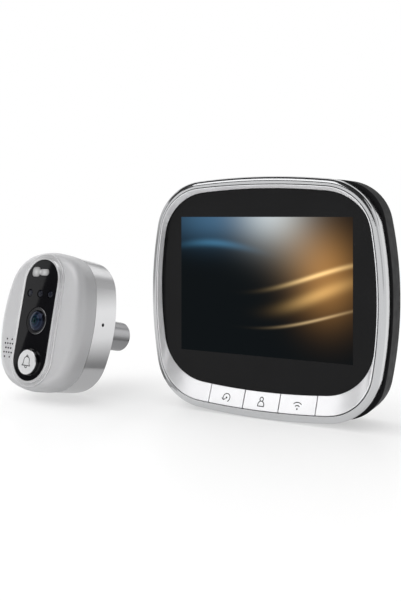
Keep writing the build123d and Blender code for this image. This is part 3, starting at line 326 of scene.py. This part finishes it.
def moulded(name, color, roughness, grain, size, specular=0.5):
    """Moulded plastic: an etched grain, with roughness that varies a little."""
    mat = material(name, color, roughness=roughness, specular=specular)
    mottle(mat, noise(mat, scale=90, detail=3.0), *shades(color, 0.08))
    rough(mat, noise(mat, scale=300, detail=3.0), roughness - 0.05, roughness + 0.05)
    bump(mat, noise(mat, scale=size, detail=3.0), strength=grain, distance=0.00003)
    return mat


def polished(name, color, roughness):
    """Bright plating, with faint wipe marks."""
    mat = material(name, color, metallic=1.0, roughness=roughness)
    rough(mat, noise(mat, scale=60, detail=4.0, stretch=(1, 1, 4)), roughness * 0.9, roughness * 1.2)
    return mat


def brushed(name, color, stretch, roughness):
    """Metal with fine parallel lines, long where the stretch is small."""
    mat = material(name, color, metallic=1.0, roughness=roughness)
    lines = noise(mat, scale=2600, detail=3.0, stretch=stretch)
    mottle(mat, lines, *shades(color, 0.10))
    rough(mat, lines, roughness - 0.06, roughness + 0.08)
    bump(mat, lines, strength=0.12, distance=0.00002)
    return mat


def gloss_black(name, color, roughness=0.04, specular=0.2):
    """Black glass: a deep gloss with the faintest haze."""
    mat = material(name, color, roughness=roughness, specular=specular)
    rough(mat, noise(mat, scale=45, detail=3.0), roughness * 0.6, roughness * 1.5)
    mottle(mat, noise(mat, scale=30, detail=2.0), *shades(color, 0.15))
    return mat


def circuit_board(name):
    """Green solder mask over copper tracks, with a fine weave."""
    mat = material(name, (0.012, 0.11, 0.045), roughness=0.35, coat=0.4)
    tree = mat.node_tree
    tracks = tree.nodes.new("ShaderNodeTexBrick")
    tracks.inputs["Scale"].default_value = 220
    tracks.inputs["Color1"].default_value = (0.010, 0.10, 0.04, 1)
    tracks.inputs["Color2"].default_value = (0.012, 0.13, 0.05, 1)
    tracks.inputs["Mortar"].default_value = (0.03, 0.20, 0.07, 1)
    tracks.inputs["Mortar Size"].default_value = 0.04
    turn = tree.nodes.new("ShaderNodeMapping")
    turn.inputs["Rotation"].default_value = (math.radians(90), 0, 0)
    tree.links.new(own_place(tree), turn.inputs["Vector"])
    tree.links.new(turn.outputs["Vector"], tracks.inputs["Vector"])
    tree.links.new(tracks.outputs["Color"], tree.nodes["Principled BSDF"].inputs["Base Color"])
    bump(mat, noise(mat, scale=2500, detail=1.0), strength=0.1, distance=0.00002)
    return mat


def foam(name, color):
    """Closed-cell foam: small round cells."""
    mat = material(name, color, roughness=0.95)
    tree = mat.node_tree
    cells = tree.nodes.new("ShaderNodeTexVoronoi")
    cells.inputs["Scale"].default_value = 2200
    tree.links.new(own_place(tree), cells.inputs["Vector"])
    mottle(mat, cells.outputs["Distance"], *shades(color, 0.5), from_low=0.0, from_high=0.6)
    bump(mat, cells.outputs["Distance"], strength=0.6, distance=0.0001)
    return mat


def sensor_lens_painted_glow(name, lobes):
    """Milky polythene in lobes, with a painted highlight in each lobe's middle that falls to painted shade at
    its edge.
    """
    mat = material(name, (0.4, 0.4, 0.4), roughness=0.36, specular=0.35)
    tree = mat.node_tree
    shares = [ranged(mat, distance_from(tree, centre), 0, 1, 0.0, reach * MM) for centre, reach in lobes]
    nearest = shares[0]
    for share in shares[1:]:
        nearest = joined(tree, "MINIMUM", nearest, share)
    # Painted highlight: light in each lobe's middle, painted shade at its edge
    mottle(mat, nearest, (0.52, 0.52, 0.52), (0.04, 0.04, 0.04), from_low=0.05, from_high=0.95)
    return mat


# Paints: colour, roughness, metallic share, coat and the flakes' contrast
silver = metallic_paint("silver_paint", (0.56, 0.56, 0.57), 0.42, 0.25)
fascia_silver = metallic_paint("fascia_silver", (0.885, 0.885, 0.90), 0.30, 0.42)
button_silver = metallic_paint("button_silver", (0.85, 0.85, 0.86), 0.30, 0.45)
ring_silver = metallic_paint("ring_silver", (0.74, 0.74, 0.75), 0.20, 1.0, 0.0, 0.02)
bezel_silver = metallic_paint("bezel_silver", (0.80, 0.80, 0.81), 0.24, 0.6, 0.0, 0.02)
barrel_metal = metallic_paint("barrel_metal", (0.44, 0.44, 0.45), 0.24, 1.0, 0.0, 0.02)
lens_edge = metallic_paint("lens_edge", (0.30, 0.30, 0.31), 0.30, 0.9, 0.0)

# Plating and black glass: colour, roughness and the glass's specular level
chrome = polished("chrome", (0.56, 0.565, 0.575), 0.11)
button_rim = polished("button_rim", (0.70, 0.70, 0.71), 0.10)
black_glass = gloss_black("black_glass", (0.006, 0.006, 0.0065), 0.04, 0.14)
window_black = gloss_black("window_black", (0.005, 0.005, 0.006))

# Plastics: colour, roughness, depth and fineness of the grain, and specular level
fascia_matt = moulded("fascia_matt", (0.885, 0.885, 0.90), 0.40, 0.1, 1800, 0.6)
dark_shell = moulded("dark_shell", (0.014, 0.014, 0.015), 0.48, 0.3, 1500, 0.05)
black_parts = moulded("black_parts", (0.022, 0.022, 0.024), 0.5, 0.2, 900)
lens_black = moulded("lens_black", (0.012, 0.012, 0.014), 0.32, 0.15, 2400)
ink = moulded("ink", (0.022, 0.022, 0.026), 0.5, 0.1, 3000, 0.2)
ivory = moulded("ivory_socket", (0.66, 0.62, 0.50), 0.45, 0.15, 1800)
rubber = moulded("rubber", (0.014, 0.014, 0.015), 0.7, 0.3, 1800)
battery_wrap = moulded("battery_wrap", (0.38, 0.39, 0.41), 0.3, 0.1, 500)
antenna_film = moulded("antenna_film", (0.30, 0.15, 0.04), 0.35, 0.1, 900)

# Brushed metals: colour, the lines' stretch and roughness
steel = brushed("steel", (0.56, 0.56, 0.57), (1, 1, 0.06), 0.30)
dark_steel = brushed("dark_steel", (0.05, 0.05, 0.055), (1, 1, 0.06), 0.35)
bracket_steel = brushed("bracket_steel", (0.50, 0.51, 0.52), (0.05, 1, 1), 0.36)
brass = brushed("brass", (0.60, 0.44, 0.20), (1, 0.2, 1), 0.3)

foam_black = foam("foam", (0.03, 0.03, 0.032))
board_green = circuit_board("circuit_board")

# The sensor's lobes on the door unit: places right and up, and how far each lobe's painted highlight reaches
# before it falls to painted shade, in mm
SENSOR_DEPTH = -12.6
SENSOR_LOBES = ((-5.2, 24.7, 5.0), (0.9, 24.7, 4.8), (-2.1, 24.9, 2.8))
glow_painted_lens = sensor_lens_painted_glow("milky_lens", [(on_door(x, z, SENSOR_DEPTH), reach) for x, z, reach in SENSOR_LOBES])

lamp = material("lamp_clear", (0.007, 0.008, 0.014), roughness=0.10, specular=0.3)
mottle(lamp, noise(lamp, scale=800, detail=1.0), (0.004, 0.005, 0.010), (0.011, 0.013, 0.022))
bump(lamp, noise(lamp, scale=500, detail=1.0), strength=0.05, distance=0.00005)

node_materials = {
    "front_glass": black_glass, "screen_module": black_parts, "fascia": fascia_silver,
    "chrome_rim": chrome, "key_left": fascia_silver, "key_middle": fascia_silver, "key_right": fascia_silver,
    "key_board": board_green, "key_switches": black_parts, "main_board": board_green,
    "main_chips": black_parts, "monitor_microphone": steel, "board_screws": steel,
    "back_shell": dark_shell, "shell_screws": steel, "battery_pack": battery_wrap,
    "monitor_speaker": black_parts, "wifi_antenna": antenna_film, "usb_socket": steel,
    "card_reader": steel, "power_switch_body": black_parts, "power_switch": black_parts,
    "cable_socket": ivory, "door_bracket": bracket_steel,
    "outdoor_front_shell": silver, "window_bezel": bezel_silver, "window_panel": window_black,
    "camera_module": black_parts, "lens_barrel": lens_black, "lens_glass": window_black,
    "infrared_leds": lamp, "motion_sensor_lens": glow_painted_lens, "motion_sensor": steel,
    "bell_button": button_silver, "bell_switch": black_parts, "outdoor_board": board_green,
    "outdoor_board_screws": steel, "outdoor_chips": black_parts, "outdoor_speaker": black_parts,
    "outdoor_microphone": steel, "ribbon_socket": ivory, "seal_gasket": rubber,
    "outdoor_ring": ring_silver, "set_screw": dark_steel, "outdoor_back_plate": dark_shell,
    "outdoor_housing_screws": steel, "foam_pad": foam_black, "mounting_barrel": barrel_metal,
    "barrel_nut": brass,
}
for node, mat in node_materials.items():
    nodes[node].data.materials.clear()
    nodes[node].data.materials.append(mat)

# Faces with a look of their own, picked by how far they turn from the front or by their place in mm

BUTTON_FRONT_SHARE, FASCIA_FRONT_SHARE, HOLE_WALL_SHARE = 0.94, 0.5, 0.2
HOLES_LEFT, HOLES_RIGHT, HOLES_BOTTOM, HOLES_TOP = -22.3, -14.6, -22.6, -10.2
forward = Vector((0, 1, 0))


def second_look(mesh, mat, picked):
    """Gives the mesh a second material, on the faces that picked(face) accepts."""
    mesh.materials.append(mat)
    for face in mesh.polygons:
        if picked(face):
            face.material_index = 1


def is_hole_wall(face):
    """Whether a face of the door unit's front shell is a wall of its speaker holes."""
    place = (face.center - door_centre) / MM
    return (HOLES_LEFT < place.dot(door_right) < HOLES_RIGHT
            and HOLES_BOTTOM < place.dot(door_up) < HOLES_TOP
            and abs(face.normal.dot(door_rear)) < HOLE_WALL_SHARE)


# The bell button's side is polished, the fascia's walls are matt, and the speaker holes' walls are black as
# painted shade inside the holes
second_look(nodes["bell_button"].data, button_rim,
            lambda face: face.normal.dot(door_rear) > -BUTTON_FRONT_SHARE)
second_look(nodes["fascia"].data, fascia_matt, lambda face: face.normal.dot(forward) > -FASCIA_FRONT_SHARE)
second_look(nodes["outdoor_front_shell"].data, black_parts, is_hole_wall)


# The picture on the screen: soft waves of blue and amber

SCREEN_WIDTH, SCREEN_HEIGHT, PICTURE_LIFT = 87.2, 65.4, 0.03
CELLS_ACROSS, CELLS_DOWN = 16, 12
PICTURE_DARK = (0.0030, 0.0048, 0.0060)

# Each glow: its colour, its middle across and up the picture, and its half width and half height
GLOWS = (
    ((0.045, 0.115, 0.20), (0.20, 1.0, 0.26, 0.17)),
    ((0.52, 0.56, 0.57), (0.55, 1.05, 0.18, 0.22)),
    ((0.36, 0.17, 0.045), (0.86, 0.60, 0.15, 0.27)),
    ((0.15, 0.105, 0.06), (0.70, 0.80, 0.15, 0.22)),
)
# Each streak: its colour, its wave's height, swing, turns, start and softness, and the glow that bounds it
STREAKS = (
    ((0.80, 0.56, 0.25), (0.58, 0.13, 0.55, 3.6, 0.016), (0.82, 0.56, 0.18, 0.6)),
    ((0.42, 0.26, 0.09), (0.46, 0.15, 0.60, 3.2, 0.045), (0.82, 0.48, 0.17, 0.6)),
    ((0.46, 0.33, 0.17), (0.33, 0.13, 0.50, 3.4, 0.010), (0.80, 0.36, 0.18, 0.6)),
    ((0.03, 0.11, 0.19), (0.74, 0.07, 0.70, 0.8, 0.026), (0.22, 0.7, 0.18, 0.6)),
)


def picture_material():
    """A lit picture of broad soft waves, under the gloss of the glass."""
    mat = material("screen_picture", (0, 0, 0), roughness=0.05, specular=0.03)
    tree = mat.node_tree
    new, link = tree.nodes.new, tree.links.new
    split = new("ShaderNodeSeparateXYZ")
    link(new("ShaderNodeUVMap").outputs["UV"], split.inputs["Vector"])

    def number(operation, a, b=None):
        """One step of arithmetic on sockets or plain numbers."""
        node = new("ShaderNodeMath")
        node.operation = operation
        for slot, value in ((0, a), (1, b)):
            if value is None:
                continue
            if isinstance(value, (int, float)):
                node.inputs[slot].default_value = value
            else:
                link(value, node.inputs[slot])
        return node.outputs[0]

    x, y = split.outputs["X"], split.outputs["Y"]

    def falloff(square):
        """One where the square is nothing, falling softly to nothing as it grows."""
        return number("POWER", 2.718, number("MULTIPLY", square, -1.0))

    def glow(cx, cy, rx, ry):
        """One in the middle of an ellipse, falling softly to nothing."""
        dx = number("DIVIDE", number("SUBTRACT", x, cx), rx)
        dy = number("DIVIDE", number("SUBTRACT", y, cy), ry)
        return falloff(number("ADD", number("MULTIPLY", dx, dx), number("MULTIPLY", dy, dy)))

    def wave(height, swing, turns, start, soft):
        """One on a wavy line across the picture, falling off above it and below."""
        phase = number("ADD", number("MULTIPLY", x, turns * 2 * math.pi), start)
        line = number("ADD", number("MULTIPLY", number("SINE", phase), swing), height)
        gap = number("DIVIDE", number("SUBTRACT", y, line), soft)
        return falloff(number("MULTIPLY", gap, gap))

    def lit(color, strength):
        """The colour, scaled by a socket."""
        node = new("ShaderNodeVectorMath")
        node.operation = "SCALE"
        node.inputs[0].default_value = color
        link(strength, node.inputs["Scale"])
        return node.outputs["Vector"]

    layers = [lit(color, glow(*ellipse)) for color, ellipse in GLOWS]
    layers += [lit(color, number("MULTIPLY", wave(*line), glow(*ellipse)))
               for color, line, ellipse in STREAKS]
    total = None
    for layer in layers:
        node = new("ShaderNodeVectorMath")
        node.operation = "ADD"
        if total is None:
            node.inputs[0].default_value = PICTURE_DARK
        else:
            link(total, node.inputs[0])
        link(layer, node.inputs[1])
        total = node.outputs["Vector"]
    shader = tree.nodes["Principled BSDF"]
    link(total, shader.inputs["Emission Color"])
    shader.inputs["Emission Strength"].default_value = 1.0
    return mat


def build_picture(bm):
    """A grid over the screen, whose picture coordinates run from 0 to 1 across and up."""
    grid = [[bm.verts.new(on_monitor(SCREEN_WIDTH * (i / CELLS_ACROSS - 0.5),
                                     SCREEN_HEIGHT * (j / CELLS_DOWN - 0.5), -PICTURE_LIFT))
             for i in range(CELLS_ACROSS + 1)] for j in range(CELLS_DOWN + 1)]
    layer = bm.loops.layers.uv.new("UVMap")
    for j in range(CELLS_DOWN):
        for i in range(CELLS_ACROSS):
            face = bm.faces.new((grid[j][i], grid[j][i + 1], grid[j + 1][i + 1], grid[j + 1][i]))
            for loop, (u, v) in zip(face.loops, ((i, j), (i + 1, j), (i + 1, j + 1), (i, j + 1))):
                loop[layer].uv = (u / CELLS_ACROSS, v / CELLS_DOWN)


picture = make_object("screen_picture", build_picture)
picture.data.materials.append(picture_material())
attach(picture, "housings")


# Symbols on the keys: a round arrow, a person and radio waves

KEY_PLACES = {"key_left": -17.55, "key_middle": 0.4, "key_right": 18.35}
KEY_HEIGHT, KEY_STROKE = -53.4, 0.40

round_arrow = [arc(0, 0, 1.75, -60, 215, 30),
               [(-1.43, -1.0), (-2.25, -0.35)], [(-1.43, -1.0), (-0.55, -0.55)]]
person = [arc(0, 1.05, 0.85, 0, 360, 24),
          bezier((-1.5, -1.9), (-1.7, -0.3), (-0.8, -0.15), (-0.55, 0.2)),
          bezier((1.5, -1.9), (1.7, -0.3), (0.8, -0.15), (0.55, 0.2)), [(-1.5, -1.9), (1.5, -1.9)]]
waves = [arc(0, -1.1, 1.45, 50, 130), arc(0, -1.1, 2.75, 48, 132)]
symbols = {"key_left": (round_arrow, [(0.0, 0.0, 0.42)]), "key_middle": (person, []),
           "key_right": (waves, [(0.0, -1.1, 0.38)])}
for key, (strokes, dots) in symbols.items():
    def key_place(x, z, centre=KEY_PLACES[key]):
        """A place on this key: right of and above its middle, in mm."""
        return on_monitor(centre + x, KEY_HEIGHT + z, 0)
    symbol = printed(key + "_symbol", key, strokes, dots, KEY_STROKE, key_place, forward)
    symbol.data.materials.append(ink)
    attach(symbol, key)

# The bell on the door unit's button

BUTTON_X, BUTTON_HEIGHT, BUTTON_DEPTH = 0.4, -21.5, -12.5
BELL_STROKE = 0.42
bell = [
    bezier((-2.9, -1.75), (-2.0, -1.1), (-2.05, -0.2), (-2.0, 0.7)),
    arc(0, 0.75, 2.0, 180, 0, 24),
    bezier((2.9, -1.75), (2.0, -1.1), (2.05, -0.2), (2.0, 0.7)),
    [(-2.9, -1.75), (2.9, -1.75)],
    arc(0, 3.0, 0.45, 0, 360, 14),
    arc(0, -2.0, 0.85, 200, 340, 10),
]


def button_place(x, z):
    """A place on the bell button: right of and above its middle, in mm."""
    return on_door(BUTTON_X + x, BUTTON_HEIGHT + z, BUTTON_DEPTH)


bell_symbol = printed("bell_symbol", "bell_button", bell, [], BELL_STROKE, button_place, door_rear)
bell_symbol.data.materials.append(ink)
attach(bell_symbol, "bell_button")

# Turned optics in place of the plain barrel and lens

LENS_X, LENS_Z = 0.4, -0.4
BARREL_FRONT, BARREL_ROOT, BARREL_RADIUS = -12.3, -3.4, 6.9
BOWL_DEPTH = 1.9
EDGE_RADIUS, EDGE_DEPTH = 6.6, 0.3
GLASS_RADIUS, GLASS_STAND, GLASS_SEAT, GLASS_STEPS = 5.5, 2.2, 0.3, 24

# The barrel's outline from its rim to the bowl behind the lens: radius and depth behind the front
BARREL_STEPS = ((BARREL_RADIUS, 0.25), (6.82, 0.08), (6.65, 0), (6.15, 0), (6.0, 0.04), (5.95, 0.12),
                (5.82, 0.16), (5.76, 0.24), (5.6, 0.3), (5.6, BOWL_DEPTH), (0, BOWL_DEPTH))


def on_lens(x, z, depth):
    """A place by the lens: right of and above its middle, behind the door unit's rim plane, in mm."""
    return on_door(LENS_X + x, LENS_Z + z, depth)


def is_barrel_edge(face):
    """Whether a face of the barrel is its bright front edge."""
    from_front = face.center - on_lens(0, 0, BARREL_FRONT)
    depth = from_front.dot(door_rear)
    return (from_front - door_rear * depth).length / MM > EDGE_RADIUS and depth < EDGE_DEPTH * MM


barrel_profile = [(0, BARREL_ROOT), (BARREL_RADIUS, BARREL_ROOT)]
barrel_profile += [(radius, BARREL_FRONT + depth) for radius, depth in BARREL_STEPS]
barrel_piece = turned("lens_barrel_turned", on_lens, barrel_profile)
barrel_piece.data.materials.append(lens_black)
second_look(barrel_piece.data, lens_edge, is_barrel_edge)
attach(barrel_piece, "housings")
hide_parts("lens_barrel")

bowl_floor = BARREL_FRONT + BOWL_DEPTH
sphere = (GLASS_RADIUS ** 2 + GLASS_STAND ** 2) / (2 * GLASS_STAND)
lens_profile = [(0, bowl_floor), (GLASS_RADIUS, bowl_floor)]
for i in range(GLASS_STEPS + 1):
    r = GLASS_RADIUS * (1 - i / GLASS_STEPS)
    height = math.sqrt(sphere ** 2 - r ** 2) - (sphere - GLASS_STAND)
    lens_profile.append((r, BARREL_FRONT + GLASS_SEAT - height))
lens_piece = turned("lens_glass_turned", on_lens, lens_profile)

# The lens's painted reflections of its inner elements: rings of dark blue and green round its middle, each a
# share of its radius and a colour
LENS_REFLECTION_RINGS = ((0.0, (0.001, 0.005, 0.005)), (0.16, (0.002, 0.010, 0.010)), (0.24, (0.008, 0.030, 0.034)),
              (0.30, (0.003, 0.007, 0.012)), (0.46, (0.004, 0.010, 0.020)), (0.54, (0.012, 0.028, 0.050)),
              (0.60, (0.003, 0.005, 0.011)), (0.78, (0.006, 0.010, 0.022)), (0.85, (0.024, 0.030, 0.048)),
              (0.90, (0.006, 0.007, 0.011)), (1.0, (0.004, 0.004, 0.005)))
LENS_TINT = (0.55, 0.62, 1.0, 1)

# Painted reflection: the inner elements' rings are laid into the base colour
lens_mat = material("lens_painted_reflections", (0.004, 0.006, 0.010), roughness=0.05, specular=0.25)
tree = lens_mat.node_tree
lens_top = on_lens(0, 0, BARREL_FRONT + GLASS_SEAT - GLASS_STAND)
rings = tree.nodes.new("ShaderNodeValToRGB")
fill_ramp(rings, LENS_REFLECTION_RINGS)
ring_share = ranged(lens_mat, distance_from(tree, lens_top), 0, 1, 0.0, GLASS_RADIUS * MM)
tree.links.new(ring_share, rings.inputs["Fac"])
lens_shader = tree.nodes["Principled BSDF"]
tree.links.new(rings.outputs["Color"], lens_shader.inputs["Base Color"])
lens_shader.inputs["Specular Tint"].default_value = LENS_TINT
lens_piece.data.materials.append(lens_mat)
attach(lens_piece, "housings")
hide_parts("lens_glass")

# Floor: plain and pale, with the object's shadow, fading to white from the middle outward

FLOOR_SIZE, FLOOR_WHITE = 8.0, 0.45
FADE_FROM, FADE_TO = 0.05, 0.40


def background_rays(tree):
    """1 for camera, glossy and transmission rays, and 0 for the rays that carry soft light."""
    path = tree.nodes.new("ShaderNodeLightPath")
    seen = joined(tree, "MAXIMUM", path.outputs["Is Camera Ray"], path.outputs["Is Glossy Ray"])
    return joined(tree, "MAXIMUM", seen, path.outputs["Is Transmission Ray"])


def build_floor(bm):
    """One wide square in four parts."""
    bmesh.ops.create_grid(bm, x_segments=2, y_segments=2, size=FLOOR_SIZE)


floor = make_object("floor", build_floor)
floor_mat = material("floor", (0.95, 0.95, 0.95), roughness=0.35, specular=0.35)
mottle(floor_mat, noise(floor_mat, scale=6, detail=2.0), (0.945, 0.945, 0.945), (0.955, 0.955, 0.955))
tree = floor_mat.node_tree
far = ranged(floor_mat, distance_from(tree, (0, 0, 0)), FLOOR_WHITE, 1, FADE_FROM, FADE_TO)
backdrop = tree.nodes.new("ShaderNodeEmission")
fade = tree.nodes.new("ShaderNodeMixShader")
tree.links.new(joined(tree, "MULTIPLY", far, background_rays(tree)), fade.inputs["Fac"])
tree.links.new(tree.nodes["Principled BSDF"].outputs["BSDF"], fade.inputs[1])
tree.links.new(backdrop.outputs["Emission"], fade.inputs[2])
tree.links.new(fade.outputs["Shader"], tree.nodes["Material Output"].inputs["Surface"])
floor.data.materials.append(floor_mat)

# World: a white background, and soft light that is stronger from the left and from above

# Where the direction's X or Z starts and ends the step, and the light before and after it
LIGHT_BY_X = (-1.0, 0.1, 2.1, 0.46)
LIGHT_BY_Z = (0.0, 0.9, 0.80, 1.15)

world = bpy.data.worlds.new("studio")
bpy.context.scene.world = world
world.use_nodes = True
tree = world.node_tree
tree.nodes.clear()
axes = tree.nodes.new("ShaderNodeSeparateXYZ")
tree.links.new(tree.nodes.new("ShaderNodeTexCoord").outputs["Generated"], axes.inputs["Vector"])


def spread(socket, from_min, from_max, to_min, to_max):
    """A smooth step of the world's brightness along one direction."""
    step = tree.nodes.new("ShaderNodeMapRange")
    step.interpolation_type = "SMOOTHSTEP"
    step.inputs["From Min"].default_value = from_min
    step.inputs["From Max"].default_value = from_max
    step.inputs["To Min"].default_value = to_min
    step.inputs["To Max"].default_value = to_max
    tree.links.new(axes.outputs[socket], step.inputs["Value"])
    return step.outputs["Result"]


def white_background():
    """A white world shader, of strength 1."""
    node = tree.nodes.new("ShaderNodeBackground")
    node.inputs["Color"].default_value = (1, 1, 1, 1)
    node.inputs["Strength"].default_value = 1.0
    return node


soft_light, plain = white_background(), white_background()
lighting = joined(tree, "MULTIPLY", spread("X", *LIGHT_BY_X), spread("Z", *LIGHT_BY_Z))
tree.links.new(lighting, soft_light.inputs["Strength"])
mix = tree.nodes.new("ShaderNodeMixShader")
tree.links.new(background_rays(tree), mix.inputs["Fac"])
tree.links.new(soft_light.outputs["Background"], mix.inputs[1])
tree.links.new(plain.outputs["Background"], mix.inputs[2])
tree.links.new(mix.outputs["Shader"], tree.nodes.new("ShaderNodeOutputWorld").inputs["Surface"])

# Key light: a wide soft sun from above the left, left out of reflections

KEY_TOWARD, KEY_STRENGTH, KEY_WIDTH = (0.55, 0.05, -0.83), 1.35, 100

key_data = bpy.data.lights.new("key_light", "SUN")
key_data.energy = KEY_STRENGTH
key_data.angle = math.radians(KEY_WIDTH)
key_light = bpy.data.objects.new("key_light", key_data)
key_light.rotation_euler = Vector(KEY_TOWARD).to_track_quat("-Z", "Y").to_euler()
key_light.visible_glossy = False
bpy.context.scene.collection.objects.link(key_light)

# Cards that show only in reflections, as they stand round a shiny product in a studio.
# Each has its corners in mm and its light. The side card's light changes with its height in mm.

SIDE_CARD_LIGHT = ((2, 0.17), (9, 0.27), (18, 0.56), (28, 0.90), (46, 1.0), (53, 0.82), (63, 0.48),
                   (82, 0.42), (110, 0.95))
WINDOW_CARD_DEPTH = -162.5


def card(name, corners, strength, heights=None):
    """A flat lit card; heights gives its light at some heights in mm."""
    obj = make_object(name, lambda bm: bm.faces.new([bm.verts.new(corner) for corner in corners]))
    mat = material(name, (0, 0, 0), roughness=1.0, specular=0.0)
    shader = mat.node_tree.nodes["Principled BSDF"]
    shader.inputs["Emission Color"].default_value = (1, 1, 1, 1)
    shader.inputs["Emission Strength"].default_value = strength
    if heights:
        tree = mat.node_tree
        place, ramp = tree.nodes.new("ShaderNodeSeparateXYZ"), tree.nodes.new("ShaderNodeValToRGB")
        tree.links.new(own_place(tree), place.inputs["Vector"])
        bottom, top = heights[0][0], heights[-1][0]
        fill_ramp(ramp, [((height - bottom) / (top - bottom), (light,) * 3) for height, light in heights])
        tree.links.new(ranged(mat, place.outputs["Z"], 0, 1, bottom * MM, top * MM), ramp.inputs["Fac"])
        tree.links.new(ramp.outputs["Color"], shader.inputs["Emission Color"])
    obj.data.materials.append(mat)
    for ray in ("camera", "diffuse", "transmission", "shadow", "volume_scatter"):
        setattr(obj, "visible_" + ray, False)


def sheet(x_range, near, far):
    """A card's corners in mm: one edge at near, which is its y and z, and the other at far."""
    left, right = x_range
    return [Vector(corner) * MM for corner in ((left, *near), (right, *near), (right, *far), (left, *far))]


def upright(x, y_range, z_range):
    """The corners in mm of an upright card that faces left and right."""
    (near, far), (bottom, top) = y_range, z_range
    return [Vector((x, y, z)) * MM for y, z in ((near, bottom), (far, bottom), (far, top), (near, top))]


card("grey_card_right", upright(1200, (-900, -180), (0, 1600)), 0.66)
card("dark_card_left", upright(-1200, (-1600, -180), (0, 1600)), 0.04)
card("grey_card_rear", sheet((-2000, 2000), (1600, 450), (1600, 850)), 0.36)
card("dark_card_top", sheet((-2000, 2000), (-1600, 500), (-300, 1900)), 0.04)
card("dark_card_over", sheet((-2000, 2000), (-500, 1500), (700, 1500)), 0.03)
card("side_card", upright(-31, (-34, 100), (2, 110)), 1.0, SIDE_CARD_LIGHT)
card("soft_box", sheet((-700, 0), (-900, 560), (-450, 1050)), 1.75)
card("low_card", sheet((-125, -20), (-60, 0.4), (170, 0.4)), 0.50)
card("window_card", [on_door(x, z, WINDOW_CARD_DEPTH) for x, z in
                     ((-151.3, 52.5), (-175.6, -43.7), (-240, -43.7), (-240, 52.5))], 1.1)

view = bpy.context.scene.view_settings
view.view_transform = "Standard"
view.look = "None"
view.exposure = 0.0
view.gamma = 1.0
